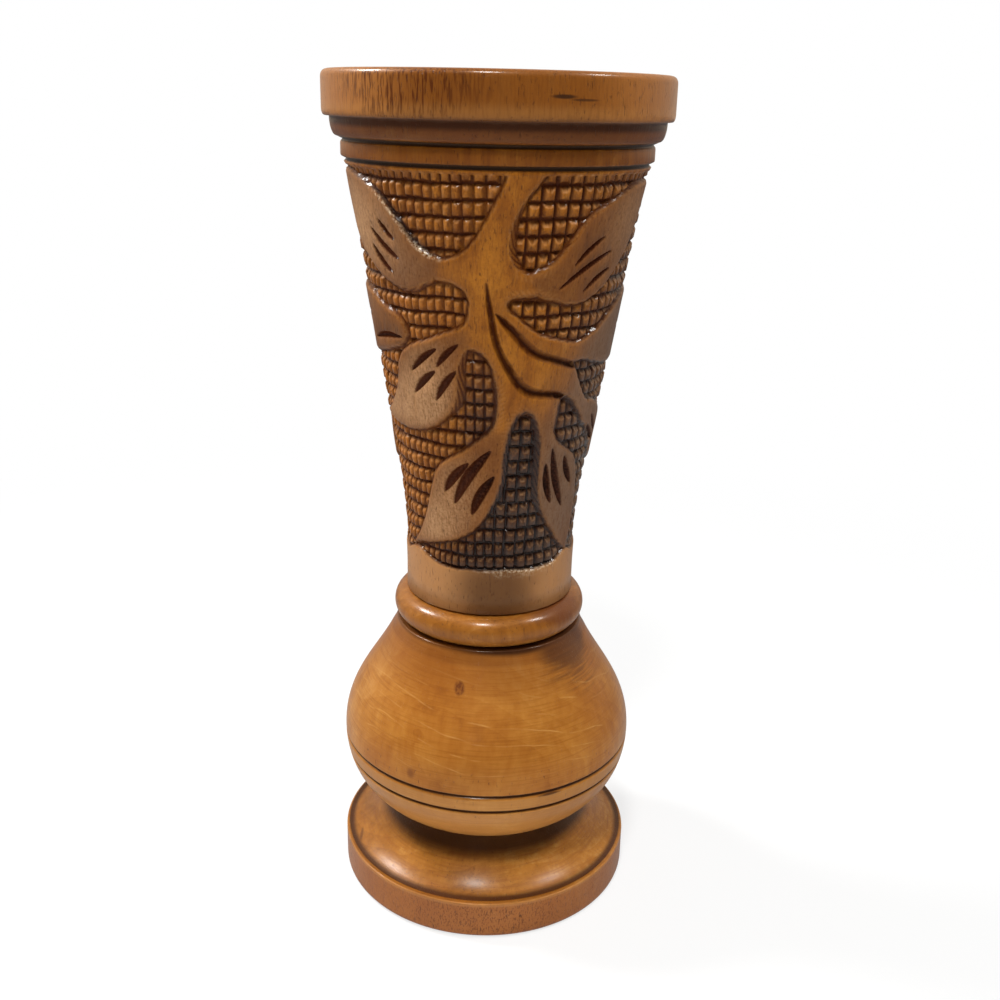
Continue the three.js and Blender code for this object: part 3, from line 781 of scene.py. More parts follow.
# Where the carving and the finish change round the vase: each place is how much, the angle and the height of
# its middle, and how far it reaches round and up
places = dict(
    slopes=((2.4, -15, 173, 5, 10), (1.8, 6.5, 211, 5, 9), (1.6, 6, 150, 5, 14), (2.4, 27, 146, 5, 13),
            (0.8, 4, 170, 4, 9), (1.2, 16, 166, 8, 3), (0.7, -37, 199, 10, 3), (1.0, 36, 163, 5, 6)),
    bars=((1, -10, 158, 11, 22), (1.3, -4, 117, 46, 9)),
    nicked=((1, 14, 200, 14, 6), (1, 34, 170, 14, 10), (0.6, 4, 168, 9, 18)),
    # the crevice, crack and pocket places paint shade in the deep cuts beside the leaves, and the glint places
    # paint highlights
    creviceShade=((1, -40, 216, 22, 14), (1, 0, 168, 16, 24), (1, 40, 150, 18, 24), (1, 22, 200, 16, 8)),
    black=((1.8, 15, 140, 19, 23), (1.5, 12, 116, 44, 10), (0.7, 52, 150, 18, 26), (0.4, 50, 176, 22, 16),
           (0.45, -8, 165, 9, 14), (0.8, 76, 140, 15, 34), (0.45, 74, 205, 14, 22)),
    crackShadow=((2, -41, 217, 16, 9),), pocketShadow=((0.9, -30, 210.5, 7, 4),),
    glints=((1.5, -29, 209, 6, 3),), glintLine=((1.1, -44, 218, 14, 8),),
    tip=((1, -66, 214, 24, 16), (1, -60, 165, 30, 10), (1, -38, 128, 22, 12), (0.5, 62, 218, 16, 12),
         (0.8, -32, 170, 14, 14), (0.5, -20, 142, 14, 10)),
    gold=((1, -58, 148, 30, 34), (1, -58, 175, 20, 12), (0.5, -25, 215, 30, 20), (1.2, -32, 192, 18, 11)),
    grey=((1.3, 68, 180, 22, 30), (0.8, 52, 168, 10, 12), (0.4, -37, 204, 15, 7), (1.5, 44, 140, 21, 24)),
)


def smoothOutline(points, steps=7, closed=True):
    # a Catmull-Rom curve through the points, where a repeated point stays sharp
    p = np.array(points, float)
    count = len(p)
    t = np.linspace(0, 1, steps, endpoint=False)[:, None]
    pieces = []
    for i in range(count if closed else count - 1):
        around = (i - 1, i, i + 1, i + 2)
        a, b, c, d = (p[k % count if closed else min(max(k, 0), count - 1)] for k in around)
        if np.allclose(b, c):
            continue
        if np.allclose(a, b):
            a = 2 * b - c
        if np.allclose(c, d):
            d = 2 * c - b
        pieces.append(b + 0.5 * t * (c - a) + t ** 2 * (a - 2.5 * b + 2 * c - 0.5 * d)
                      + 0.5 * t ** 3 * (3 * b - a - 3 * c + d))
    if not closed:
        pieces.append(p[-1:])
    return np.vstack(pieces)


def neckHeights():
    # where the turned parts at the top of the neck begin
    rimFoot = nodeHeights("carved_neck")[1] - neck["rimHeight"]
    coveFoot = rimFoot - neck["coveHeight"]
    bandTop = coveFoot - neck["groove"]
    bandFoot = bandTop - neck["bandHeight"]
    return dict(rimFoot=rimFoot, coveFoot=coveFoot, bandTop=bandTop, bandFoot=bandFoot,
                coneTop=bandFoot - neck["groove"])


def blankRadius(z, low):
    # the turned neck's radius at a height: an upright stem, a bend and a straight cone
    coneFoot = low + neck["bend"]
    slope = (neck["coneTop"] - neck["stem"]) / (neckHeights()["coneTop"] - coneFoot)
    # a bend with the same reach on both sides is a parabola between the two straight stretches
    reach = neck["bendLength"]
    s = np.clip((z - coneFoot + reach) / (2 * reach), 0, 1)
    return neck["stem"] + slope * (s * s * reach + np.maximum(z - coneFoot - reach, 0))


def wander(angle, z, seed):
    # a smooth hand wobble between about -1 and 1 that closes on itself round the vase
    a = np.radians(angle)
    return (np.sin(3 * a + z / 17 + seed) + np.sin(7 * a - z / 11 + 2.3 * seed)
            + np.sin(13 * a + z / 7 + 4.1 * seed) + np.sin(5 * a - z / 5 + 5.7 * seed)) / 2.6


def scatter(a, b):
    # a repeatable scattered value from 0 to 1 for each pair of whole numbers
    return np.modf(np.abs(np.sin(a * 12.9898 + b * 78.233) * 43758.5453))[0]


def insideDistance(outline, angle, z, radius):
    # Distance in mm to a closed outline, above zero inside it, and the way along it at the nearest place.
    # Each stretch of the outline is a line: the nearest point on it is found by projection, and an
    # upward ray counts crossings to tell inside from outside.
    best = np.full(angle.shape, 1e9)
    way = np.zeros(angle.shape)
    crossings = np.zeros(angle.shape, int)
    mmPerDegree = radius * math.pi / 180
    walked = 0.0
    for start, end in zip(outline, np.roll(outline, -1, 0)):
        ax, az = (start[0] - angle) * mmPerDegree, start[1] - z
        bx, bz = (end[0] - angle) * mmPerDegree, end[1] - z
        dx, dz = bx - ax, bz - az
        t = np.clip(-(ax * dx + az * dz) / (dx * dx + dz * dz + 1e-9), 0, 1)
        far = (ax + t * dx) ** 2 + (az + t * dz) ** 2
        nearer = far < best
        length = math.dist((start[0] * 0.6, start[1]), (end[0] * 0.6, end[1]))
        way = np.where(nearer, walked + t * length, way)
        best = np.where(nearer, far, best)
        walked += length
        crosses = (ax > 0) != (bx > 0)
        meets = az - ax * dz / np.where(dx == 0, 1e-9, dx) > 0
        crossings += crosses & meets
    return np.sqrt(best) * np.where(crossings % 2, 1, -1), way


def nearOutline(outline, angle, z, pad=4.0):
    # which rows and columns of the grid come near an outline
    rows = np.nonzero((z[:, 0] > outline[:, 1].min() - pad) & (z[:, 0] < outline[:, 1].max() + pad))[0]
    reach = pad * 2  # degrees
    left, right = outline[:, 0].min() - reach, outline[:, 0].max() + reach
    return np.ix_(rows, np.nonzero((angle[0] > left) & (angle[0] < right))[0])


def treeFields(angle, z, radius):
    # One tree of leaves: distance inside any leaf or stem, the same for leaves alone, the way along
    # the nearest outline, and the depth of the slits and gouges, on the whole grid
    inside = np.full(angle.shape, -9.0)
    leafInside = np.full(angle.shape, -9.0)
    way = np.zeros(angle.shape)
    depth = np.zeros(angle.shape)
    for shapes, isLeaf in ((leaves, True), (stems, False)):
        for points in shapes.values():
            outline = smoothOutline(points)
            part = nearOutline(outline, angle, z)
            distance, along = insideDistance(outline, angle[part], z[part], radius[part])
            way[part] = np.where(distance > inside[part], along, way[part])
            inside[part] = np.maximum(inside[part], distance)
            if isLeaf:
                leafInside[part] = np.maximum(leafInside[part], distance)
    mmPerDegree = radius * math.pi / 180
    for (a0, z0), (a1, z1), width in slits:
        # a lens: its half width follows a blunt half sine wave along its length, and its section is a hollow
        dx, dz = (a1 - a0) * mmPerDegree, z1 - z0
        px, pz = (angle - a0) * mmPerDegree, z - z0
        length = np.sqrt(dx * dx + dz * dz)
        t = (px * dx + pz * dz) / length ** 2
        wave = np.sin(np.clip(t, 0, 1) * math.pi)
        off = np.abs((px * dz - pz * dx) / length - carving["slitBend"] * length * wave)
        half = width / 2 * wave ** 0.55 + 1e-6
        lens = np.clip(1 - (off / half) ** 2, 0, 1) ** 0.8 * wave ** 0.4 * ((t > 0) & (t < 1))
        depth = np.maximum(depth, lens * carving["slitDepth"] * (0.6 + 0.14 * width))
    for points in gouges:
        line = smoothOutline(points, 9, closed=False)
        for start, end in zip(line[:-1], line[1:]):
            ax, az = (start[0] - angle) * mmPerDegree, start[1] - z
            dx, dz = (end[0] - start[0]) * mmPerDegree, end[1] - start[1]
            t = np.clip(-(ax * dx + az * dz) / (dx * dx + dz * dz), 0, 1)
            half = (start[2] * (1 - t) + end[2] * t) / 2
            off = np.sqrt((ax + t * dx) ** 2 + (az + t * dz) ** 2)
            cut = np.clip(1 - off / half, 0, 1) * carving["gougeDepth"] * np.clip(half, 0, 1)
            depth = np.maximum(depth, cut)
    return inside, leafInside, way, depth


def apart(angle, centre, turn=180):
    # degrees from a place, where the pattern repeats every half turn
    return (angle - centre + turn / 2) % turn - turn / 2


def hills(name, angle, height):
    # smooth rises round the named places, on both sides of the vase
    return sum(much * np.exp(-(apart(angle, a) / reachA) ** 2 - ((height - z) / reachZ) ** 2)
               for much, a, z, reachA, reachZ in places[name])


def ridge(x, middle, reach, power=2):
    # 1 at the middle, falling away to both sides
    return np.exp(-((x - middle) / reach) ** power)


def chequerCuts(angle, height, radius):
    # The chequered ground. On the left the cells are pillows with a long right side, under cuts that run on
    # from cell to cell. On the right and low down the upright cuts are plain bars, and most cells have a
    # short cut of their own. Each cut falls steeply from above and rises slowly below, in a facet that
    # catches the light. Returns the depth, how dark the cuts are, which is partly painted shade, and where
    # the lit facets are, which the finish paints pale as highlights.
    pitch = carving["rowPitch"]
    swell = carving["rowSwell"] * ridge(height, carving["swellAt"], carving["swellReach"])
    rowPlace = (carving["topRow"] + swell - height) / pitch \
        + carving["rowWander"] * wander(angle, height * 0.5, 2.9)
    row = np.floor(rowPlace)
    rowHeight = carving["topRow"] - (row + 0.5) * pitch
    columns = np.zeros(angle.shape)
    for above, count in carving["columnsAbove"]:
        columns = np.where(rowHeight > above, count, columns)
    fanned = angle + carving["fan"] * np.sin(np.radians(3 * (angle - carving["fanFrom"])))
    columnPlace = fanned * columns / 360 + carving["columnWander"] * wander(angle, height * 0.25, 0.6) \
        + carving["columnShift"] * (scatter(row, 3.0) - 0.5)
    column = np.floor(columnPlace)
    across = columnPlace - column
    middle = np.sin(across * math.pi)
    cell = 2 * math.pi * radius / columns
    force = carving["force"] + carving["forceSpread"] * scatter(np.round(columnPlace), row + 11)
    fromLeft, fromRight = across * cell, (1 - across) * cell
    barred = step((carving["barsReach"] - abs(apart(angle, carving["barsAt"]))) / carving["barsSoft"])
    barred = np.clip(np.where(row < 0, 0.8, barred + hills("bars", angle, height)), 0, 1)

    # upright cuts: their depth and how dark they are, as pillows and as bars,
    # with painted shade on a pillow's long right side
    pillow = np.maximum(np.clip(1 - fromLeft / carving["columnSteep"], 0, 1),
                        np.clip(1 - fromRight / (carving["columnGentle"] * force), 0, 1))
    fromBar = np.minimum(fromLeft / carving["barRight"], fromRight / carving["barLeft"]) / force
    columnCut = pillow + (np.clip(1.25 - fromBar, 0, 1) - pillow) * barred
    shadedLongSide = np.maximum(0.9 * step(1.3 - fromLeft / 0.45), 0.75 * step(pillow * 1.6))
    columnDarkAndShade = shadedLongSide + (step(1.5 - 1.3 * fromBar) - shadedLongSide) * barred

    # level cuts, where down is how many mm a place lies below the cut's own leaning line
    line = np.round(rowPlace)
    lean = 0.5 * (across - 0.5) * (scatter(column, line + 7) - 0.35) + 0.25 * (scatter(column, line) - 0.5)
    down = (rowPlace - line) * pitch - lean * (1 - 0.6 * barred)
    dashed = barred * (0.25 + 0.75 * (scatter(line, 21.0) > 0.3))
    lens = (0.62 + 0.38 * middle ** 0.7) * (1 - dashed) + np.clip(1.3 * middle - 0.3, 0, 1) ** 0.6 * dashed
    half = carving["rowWidth"] / 2 * lens * (0.75 + 0.5 * scatter(line, column + 4))
    half = half * (1 + 0.3 * barred) + 1e-3

    def fromLine(below, above):
        return np.where(down > 0, down / below, -down / above) / half

    rowCut = np.clip(1 - fromLine(*carving["rowSlopes"]), 0, 1)
    # the dark of a level cut is stain in the cut and painted shade on its steep upper wall
    rowDark = step(1.7 - fromLine(*carving["rowShadeAndStain"])) * step(half / 0.15)

    # facets that catch the light and the cells' lit left faces, both painted pale in the finish as
    # highlights, and the cells' own crowns and tilts
    litLeft = step((0.5 - across) / 0.25) * step((across - 0.1) / 0.1) \
        * (0.15 + 0.85 * scatter(row + 31, column)) * (1 - 0.6 * barred)
    litFacet = step((down / half - 0.5) / 0.35) * step((1.9 - down / half) / 0.5) \
        * np.clip(1.6 * middle - 0.45, 0, 1)
    litFacet = np.maximum(litFacet * (1 - columnCut), 0.8 * litLeft * (1 - rowDark))
    up = (rowPlace - row - 0.5) * 2
    crown = carving["crown"][0] * (2 * across - 0.75) ** 2 + carving["crown"][1] * up ** 2
    tilt = carving["tilt"][0] * (2 * across - 1) * (scatter(row, column) - 0.5) \
        + carving["tilt"][1] * up * (scatter(column, row + 5) - 0.4)
    level = carving["level"] * scatter(row + 2, column)
    rowPart = rowCut * carving["rowDepth"]
    columnPart = columnCut * carving["columnDepth"] * force
    together = np.maximum(rowPart, columnPart) + carving["crossing"] * np.minimum(rowPart, columnPart)
    return crown + tilt + level + together, np.maximum(rowDark, columnDarkAndShade), litFacet


def carvedFields(z, low):
    # The carving on a grid of heights by angles: depth below the blank, and masks for the finish
    angles = np.arange(neck["around"]) / neck["around"] * 360 - 180
    angle, height = np.meshgrid(angles, z)
    radius = blankRadius(height, low)
    inside, leafInside, way, cuts = treeFields(angle, height, radius)
    # the tree again on the far side, with the hand's wobble, so that no two leaves are quite alike
    wobble = step((abs(angle) - carving["farFrom"]) / carving["farSoft"])
    farAngle = (angle + 360) % 360 - 180
    far = treeFields(farAngle + carving["farTurn"] * wobble * wander(angle, height, 1.7),
                     height + carving["farRise"] * wobble * wander(angle, height, 4.4), radius)
    way = np.where(far[0] > inside, far[2], way)
    inside = np.maximum(inside, far[0])
    leafInside = np.maximum(leafInside, far[1])
    cuts = np.maximum(cuts, far[3])
    inside = inside + carving["outlineWander"] * wander(angle * 5, height * 3, 5.2)
    outside = -inside

    def at(name):
        return hills(name, angle, height)

    # the ground: a hatched wall falls to it from each leaf, and the chequer starts past the wall's foot
    cells, cellCutAndShade, litFacet = chequerCuts(angle, height, radius)
    wall = carving["wall"] + at("slopes")
    wallFoot = wall * carving["wallFoot"]
    beside = np.exp(-np.clip(outside - wallFoot, 0, 9) / carving["besideReach"])
    ground = carving["ground"] + (carving["groundAtEdge"] - carving["ground"]) * beside
    wallPart = step(outside / wall)
    cellPart = step((outside - wall * carving["cellsFrom"]) / 0.6)
    strokes = np.sin((0.5 * way + 1.5 * outside) * 2 * math.pi / carving["stroke"]
                     + 2.2 * wander(angle, height, 7.7))
    hatched = np.clip(outside / 0.3, 0, 1) * (1 - cellPart)
    groundDepth = wallPart * (ground + carving["hatchDepth"] * (1 - cellPart)) \
        + carving["strokeDepth"] * strokes * hatched + cells * cellPart

    # the leaves and stems: a rounded edge, a trace of the tool, nicks, slits and gouges
    edge = carving["edgeRound"] * np.clip(1 - inside / carving["edgeReach"], 0, 1) ** 2
    tooled = carving["toolDepth"] * (1 + wander(angle * 2, height * 2.2, 6.1))
    nicks = np.sin((way + 0.7 * inside) * 2 * math.pi / carving["nick"]
                   + 2.5 * wander(angle * 3, height * 2, 3.3))
    nicked = ridge(inside, 0.9, 0.9) * step(inside / 0.3) \
        * np.clip(0.5 + 0.5 * wander(angle * 2, height, 9.1), 0.1, 1) * np.clip(0.12 + at("nicked"), 0, 1)
    raised = edge + tooled + carving["nickDepth"] * (1 + nicks) * nicked + cuts * step(inside / 0.5 + 0.4)
    depth = np.where(inside > 0, raised, groundDepth + carving["edgeRound"] * (1 - wallPart) + tooled)

    # the lower edge is cut by eye: it rises beside the leaf tips and wanders between them
    level = 0 * height
    slow, quick = carving["edgeWander"]
    lowerEdge = carving["edgeLow"] + slow * wander(angle, level, 8.8) + quick * wander(angle * 4, level, 1.1)
    for tip, rise, reach in carving["edgeRises"]:
        lowerEdge = lowerEdge + rise * ridge(apart(angle, tip), 0, reach)
    above = height - lowerEdge
    carved = step(above / 0.6)
    reached = step(above / 0.7) * step((carving["high"] - height) / 0.5)
    nearEdge = 0.75 * ridge(above, 0.7, 0.5) * step(outside / 0.5)  # the cut that stops the chequer
    depth = np.clip(depth * reached * (0.55 + 0.45 * step(above / 7)) + nearEdge, 0, None)

    # dark cuts, partly stain in the cuts and partly painted shade: the chequer's, a line along the foot of
    # each wall that is widened with painted shade in the crevices beside some leaves, the slits, the
    # hatching and the lower edge
    creviceShade = np.clip(at("creviceShade"), 0, 1)
    outline = np.maximum(0.95 * ridge(outside, wallFoot, 0.5 + 0.35 * creviceShade) * step(outside / 0.3),
                         0.9 * creviceShade * ridge(outside, 0.6, 0.6))
    cutAndShadeMask = np.maximum(cellCutAndShade * cellPart, outline)
    cutAndShadeMask = np.maximum(cutAndShadeMask, np.where(inside > -0.3, np.clip(cuts / 0.45, 0, 1), 0))
    cutAndShadeMask = np.maximum(cutAndShadeMask, (0.66 + 0.3 * strokes) * hatched) * step(above / 0.4)
    cutAndShadeMask = np.maximum(cutAndShadeMask, ridge(above, 0.7, 0.45) * step(outside / 0.4))
    # painted shade: a black line in the deep cut beside the upper left leaf opens into a pocket at the
    # leaf's foot, and painted highlights glint along both
    black = at("black") + at("crackShadow") * ridge(outside, 0.5, 0.5 + at("pocketShadow"))
    masks = dict(
        near=np.exp(-np.clip(inside, 0, 20) / 1.7) * step(inside / 0.4) * carved,
        grey=np.clip(at("grey"), 0, 1) * (0.35 + 0.65 * step(inside / 0.4)),
        # painted highlights: a pale line where the carving's lower edge catches the lamps, and glints beside and
        # on the upper left leaf's edge
        lip=ridge(above, -0.1, 0.28) * ridge(apart(angle, 24), 0, 26, 4)
        + at("glints") * ridge(outside, 0.2, 0.4) + at("glintLine") * ridge(inside, 0.2, 0.3),
        hatch=(0.5 + 0.5 * nicks) * nicked * carved,
        cut=cutAndShadeMask,
        ground=step(outside / 0.5) * carved * step((carving["high"] + 0.3 - height) / 0.4),
        leaf=step((leafInside + 1.5) / 3.5),
        # pale on the leaves' edges, and a painted highlight on the cells' lit facets and left faces
        edge=np.maximum(0.7 * ridge(inside, 0, 0.45), litFacet * cellPart) * carved,
        black=np.clip(black, 0, 1),
        tip=np.clip(at("tip"), 0, 1),
        amber=ridge(apart(angle, -2), 0, 30, 4),
        gold=np.clip(at("gold"), 0, 1),
    )
    return depth, masks


def neckProfile():
    # the loop of the turned neck, with the rows of the carving set close together
    low, high = nodeHeights("carved_neck")
    seat = nodeHeights("neck_collar")[1]
    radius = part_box("carved_neck")[1][0] * metre - neck["shy"]
    rimFoot, coveFoot, bandTop, bandFoot, coneTop = neckHeights().values()
    band, bandRound, bore = neck["band"], neck["bandRound"], neck["bore"]
    grooveLow = ((neck["coneTop"] + band) / 2 - neck["grooveDepth"], bandFoot - neck["groove"] / 2)
    grooveHigh = ((band + neck["coveFoot"]) / 2 - neck["grooveDepth"], bandTop + neck["groove"] / 2)
    rimUnder = (neck["coveTop"] + neck["rimStep"], rimFoot)
    rimShoulder = (radius, rimFoot + neck["rimRound"])
    rimCorner, mouthCorner = (radius, high), (neck["mouth"], high)
    taperFoot = (bore, seat + neck["boreHeight"])
    plainZ = np.arange(seat + neck["stemChamfer"], carving["low"], 0.8)
    carvedZ = np.arange(carving["low"], carving["high"] + 0.01, neck["rowPitch"])
    a = np.linspace(0, 1, 9)[:, None]
    shoulder = np.array(rimUnder) * (1 - a) ** 2 + np.array((radius, rimFoot)) * 2 * a * (1 - a) \
        + np.array(rimShoulder) * a * a
    return seat, carvedZ, joined(
        route(2, (bore, low), (neck["tenon"], low)),
        route(3, (neck["tenon"], low), (neck["tenon"], seat)),
        route(1.5, (neck["tenon"], seat), (neck["stem"] - neck["stemChamfer"], seat)),
        np.stack([blankRadius(plainZ, seat), plainZ], 1),
        np.stack([blankRadius(carvedZ, seat), carvedZ], 1),
        route(0.4, (neck["coneTop"], coneTop), grooveLow, (band, bandFoot)),
        rounded(grooveLow, (band, bandFoot), (band, bandTop), bandRound, 4),
        route(0.5, (band, bandFoot + 0.5), (band, bandTop - 0.4)),
        rounded((band, bandFoot), (band, bandTop), grooveHigh, bandRound, 4),
        route(0.4, (band, bandTop), grooveHigh)[1:],
        route(0.4, grooveHigh, (neck["coveFoot"], coveFoot)),
        hollow((neck["coveFoot"], coveFoot), (neck["coveTop"], rimFoot), 14),
        route(0.4, (neck["coveTop"] + 0.3, rimFoot), rimUnder),
        shoulder,
        route(0.45, (radius, rimFoot + neck["rimRound"] + 0.4), (radius, high - neck["rimRound"] - 0.3)),
        rounded(rimShoulder, rimCorner, mouthCorner, neck["rimRound"], 9),
        route(0.8, (radius - neck["rimRound"] - 0.5, high), (neck["mouth"] + neck["mouthRound"], high)),
        rounded(rimCorner, mouthCorner, taperFoot, neck["mouthRound"], 9),
        route(4, (neck["mouth"] - 0.8, high - 4.2), taperFoot, (bore, low + 1)))


def gridSample(field, rowPlace, columnPlace):
    # values between the grid's points, where the columns close on themselves
    rows, columns = field.shape
    rowPlace = np.clip(rowPlace, 0, rows - 1.001)
    r0, c0 = np.floor(rowPlace).astype(int), np.floor(columnPlace).astype(int)
    fr, fc = rowPlace - r0, columnPlace - c0
    c0, c1 = c0 % columns, (c0 + 1) % columns
    return (field[r0, c0] * (1 - fr) + field[r0 + 1, c0] * fr) * (1 - fc) \
        + (field[r0, c1] * (1 - fr) + field[r0 + 1, c1] * fr) * fc


def thinned(mesh, most):
    # flat places lose vertices until the given number of triangles is left
    holder = placedObject("thinning", mesh)
    modifier = holder.modifiers.new("thin", "DECIMATE")
    modifier.ratio = most / (2 * len(mesh.polygons))
    shaped = holder.evaluated_get(bpy.context.evaluated_depsgraph_get())
    result = bpy.data.meshes.new_from_object(shaped)
    bpy.data.objects.remove(holder)
    bpy.data.meshes.remove(mesh)
    return result


# The masks that the carving leaves for the finish, four to a colour attribute
neckMaps = dict(
    carving=("cut", "ground", "leaf", "edge"),
    tone=("black", "tip", "amber", "gold"),
    wearAndGlints=("near", "grey", "lip", "hatch"),
)
neckStainsAndPaintedLight = (
    # stems and the leaves' edges
    ("amber streaks", "#945410", 0.7), ("amber cloud", "#b8741f", 0.6), ("near cloud", "#6b340e", 0.5),
    ("near", "#6b3410", 0.3),
    # the ground, golden on the left and black low on the right, with painted highlights on the lit facets
    # and painted glints in the black
    ("ground gold", "#ab6420", 0.7), ("ground speck", "#5c2c10", 0.35), ("ground edge", "#c08650", 0.6),
    ("ground black", "#27130b", 0.95), ("edge black", "#9c8270", 0.28),
    # leaves
    ("leaf", "#6a4022", 0.75), ("leaf tip", "#b68b62", 0.78), ("grey", "#745c4a", 0.75),
    ("leaf speck", "#5d3d22", 0.35), ("hair", "#5a3213", 0.4), ("amber speck", "#6e3a10", 0.3),
    ("hatch", "#c08a4c", 0.4),
    # the plain stem, with painted shade on its front, and the turned top, with painted reflections on the
    # rim's sides and a painted shadow under the rim
    ("stem", "#bd8a58", 0.72), ("stem streaks", "#7c4c2a", 0.45), ("stemShade", "#3a1c0a", 0.75),
    ("rim", "#7e4816", 0.8), ("rim streaks", "#54290c", 0.35), ("rimLow", "#966634", 0.45),
    ("rimSides", "#b07238", 0.4), ("flames", "#481e08", 0.85),
    ("cove", "#5e331a", 0.85), ("underRim", "#32140a", 0.85), ("band", "#643512", 0.6),
    ("pores", "#3c1c0c", 0.5),
    # cuts, partly painted shade, and painted glints
    ("cut", "#351107", 0.93), ("cut black", "#160805", 0.9), ("cut leaf speck", "#6b3e28", 0.3),
    ("edge speck", "#b08250", 0.35), ("lip speck", "#d8c2a2", 0.9),
    ("lowGroove", "#1c0a04", 0.95), ("highGroove", "#1c0a04", 0.95),
    ("nickLeft", "#26150c", 0.85), ("nickRight", "#2e1a0e", 0.7),
)


def neckWood(seat):
    # Varnished and stained hardwood: amber stems, dull grey-brown leaves, a ground whose cuts hold dark
    # stain and painted shade, which is nearly black low on the right, painted highlights on the lit cells
    # and the carving's lower edge, a brown rim with dark flames, painted reflections on its sides and a
    # painted shadow under it, and nearly black grooves
    finish = varnishedWood("varnishedNeckWood", neck["tones"], pith=(4, -11))
    tree = finish["tree"]
    masks = {}
    for name, keys in neckMaps.items():
        layer = addNode(tree, "Attribute", attribute_name=name)
        parts = addNode(tree, "SeparateColor", {0: layer.outputs["Color"]})
        masks.update(zip(keys, (*parts.outputs, layer.outputs["Alpha"])))

    top = nodeHeights("carved_neck")[1]
    rimFoot, coveFoot, bandTop, bandFoot, coneTop = neckHeights().values()
    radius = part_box("carved_neck")[1][0] * metre
    outer = ringed(finish, neck["mouth"] + 0.2, radius + 5, 0.6, 1)  # leaves out the inside of the mouth

    def topPart(low, high, soft):
        return product(finish, outer, between(finish, low, high, soft))

    rim = topPart(rimFoot - 0.2, top + 5, 0.3)
    plain = addNode(tree, "Math", {0: 1.0, 1: masks["ground"]}, operation="SUBTRACT")
    # painted reflection: the rim paler on its left and right, as seen from in front
    sides = addNode(tree, "Math", {0: 1.0, 1: between(finish, -27, 27, 9, "X")}, operation="SUBTRACT")
    flameSide = markAt(finish, (-24, -41, 252.5), (20, 20, 9.5), 0.45)
    faint = addNode(tree, "Math", {0: flameSide, 1: 0.8, 2: 0.2}, operation="MULTIPLY_ADD")
    masks.update(
        speck=grainNoise(finish, (0.75, 0.75, 0.75), 0.42, 0.66, 3.0),
        cloud=grainNoise(finish, (7, 7, 12), 0.42, 0.6, 3.0, "bent"),
        hair=grainNoise(finish, (0.5, 0.5, 5), 0.48, 0.68),
        stem=product(finish, plain, between(finish, seat - 1, carving["edgeLow"] + 3.0, 0.4)),
        stemShade=markAt(finish, (3, -28, 106), (12, 16, 18), 0.6, True),
        rim=rim, rimSides=product(finish, rim, sides),
        flames=product(finish, grainNoise(finish, (0.6, 0.6, 6), 0.47, 0.6), faint, rim,
                       ringed(finish, radius - 1.2, radius + 5, 0.4, 1)),
        rimLow=topPart(rimFoot, rimFoot + 3.5, 1.5),
        # painted shadow under the rim's overhang
        underRim=topPart(rimFoot - 2.2, rimFoot + 0.2, 0.8),
        cove=topPart(coveFoot, rimFoot, 0.35),
        band=topPart(bandFoot, bandTop, 0.2),
        lowGroove=topPart(coneTop + 0.3, bandFoot - 0.1, 0.2),
        highGroove=topPart(bandTop + 0.3, coveFoot - 0.1, 0.2),
        nickLeft=markAt(finish, (15.8, -46.8, 248.0), (3.0, 4, 0.5), 0.4),
        nickRight=markAt(finish, (21.0, -44.6, 247.3), (3.5, 4, 0.3), 0.4))

    # the varnish lies thick in the dark ground and on the rim, and thin and dull on the leaves and in cuts
    def sheen(name, mask, factor, rest, **settings):
        # a gloss value that changes with a mask: mask x factor + rest
        value = addNode(tree, "Math", {0: mask, 1: factor, 2: rest}, operation="MULTIPLY_ADD", **settings)
        tree.links.new(value.outputs[0], finish["shader"].inputs[name])
        return value

    darkGround = product(finish, masks["ground"], masks["black"])
    thick = sheen("Coat Weight", darkGround, 0.8, 0.15)
    sheen("Coat Weight", rim, 0.2, thick)
    sheen("Roughness", masks["leaf"], 0.12, wood["roughness"])
    mirror = sheen("Specular IOR Level", masks["leaf"], -0.6 * wood["gloss"], wood["gloss"])
    sheen("Specular IOR Level", masks["cut"], -0.8 * wood["gloss"], mirror, use_clamp=True)
    return stained(finish, masks, neckStainsAndPaintedLight)


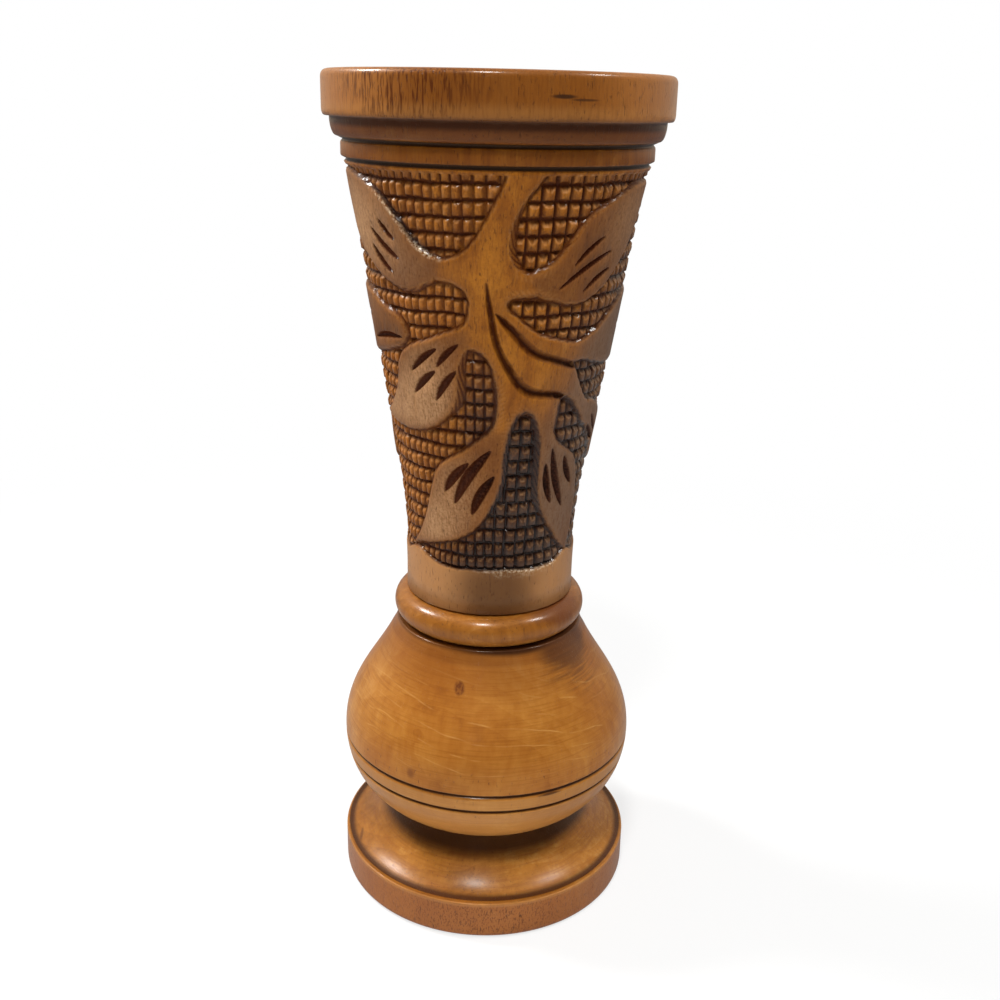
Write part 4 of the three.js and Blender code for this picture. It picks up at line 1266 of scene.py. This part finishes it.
def addNeck():
    seat, carvedZ, profile = neckProfile()
    around = neck["around"]
    depth, masks = carvedFields(carvedZ, seat)
    print("carving worked out on", depth.shape)
    radius = profile[:, :1] * np.ones(around)
    # the carving takes the rows of the profile that lie between its heights on the outside
    first = int(np.argmin(np.abs(profile[:, 1] - carvedZ[0]) + 1e3 * (profile[:, 0] < neck["tenon"] + 1)))
    rows = slice(first, first + len(carvedZ))
    radius[rows] -= depth
    angles = np.radians(np.arange(around) / around * 360 - 180)
    points = revolvedPoints(radius, profile[:, 1:], angles)
    mesh = bpy.data.meshes.new("neckCarved")
    faces = revolvedFaces(len(profile), around, True)
    mesh.from_pydata((points / metre).tolist(), [], faces.tolist())
    mesh = thinned(mesh, neck["most"])
    mesh.name = "neckCarved"
    place = np.empty(len(mesh.vertices) * 3)
    mesh.vertices.foreach_get("co", place)
    place = place.reshape(-1, 3) * metre
    height, reach = place[:, 2], np.hypot(place[:, 0], place[:, 1])
    angle = np.degrees(np.arctan2(place[:, 0], -place[:, 1]))
    rowPlace = (height - carvedZ[0]) / neck["rowPitch"]
    columnPlace = (angle + 180) / 360 * around
    carved = (rowPlace >= 0) & (rowPlace <= len(carvedZ) - 1) & (reach > blankRadius(height, seat) - 5)
    for name, keys in neckMaps.items():
        values = np.stack([gridSample(masks[key], rowPlace, columnPlace) * carved for key in keys], 1)
        layer = mesh.attributes.new(name, "FLOAT_COLOR", "POINT")
        layer.data.foreach_set("color", values.astype(np.float32).ravel())
    # the way along the blank's profile, for the bake's map
    along = profileLength(profile, lambda r, z: np.where((r > 25) & (z > seat), 1.0, 0.3))
    atHeight = np.interp(height, profile[rows, 1], along[rows])
    nearest = nearestAlong(profile, along, reach, height)
    addBakeMap(mesh, (angle + 180) / 360, np.where(carved, atHeight, nearest))
    mesh.shade_smooth()
    piece = placedObject("neckCarved", mesh)
    piece.data.materials.append(neckWood(seat))
    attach(piece, "root")
    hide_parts("carved_neck")
    print("neck carved,", len(mesh.polygons), "faces")


def nearestAlong(profile, along, reach, height):
    # for each vertex, the way along the profile at its nearest point, a few thousand vertices at a time
    result = np.empty(len(reach))
    for start in range(0, len(reach), 4000):
        part = slice(start, start + 4000)
        far = (reach[part, None] - profile[:, 0]) ** 2 + (height[part, None] - profile[:, 1]) ** 2
        result[part] = along[far.argmin(1)]
    return result


addNeck()


# Dowel: plain beech inside the joint, which never shows
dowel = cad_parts["foot_dowel"]
dowel.data.materials.clear()
bareBeech = varnishedWood("bareBeech", ("#a87848", "#bd8e5c", "#cba06e", "#d8b388"), coat=0.0)
dowel.data.materials.append(stained(bareBeech, {}, ()))
print("dowel finished")
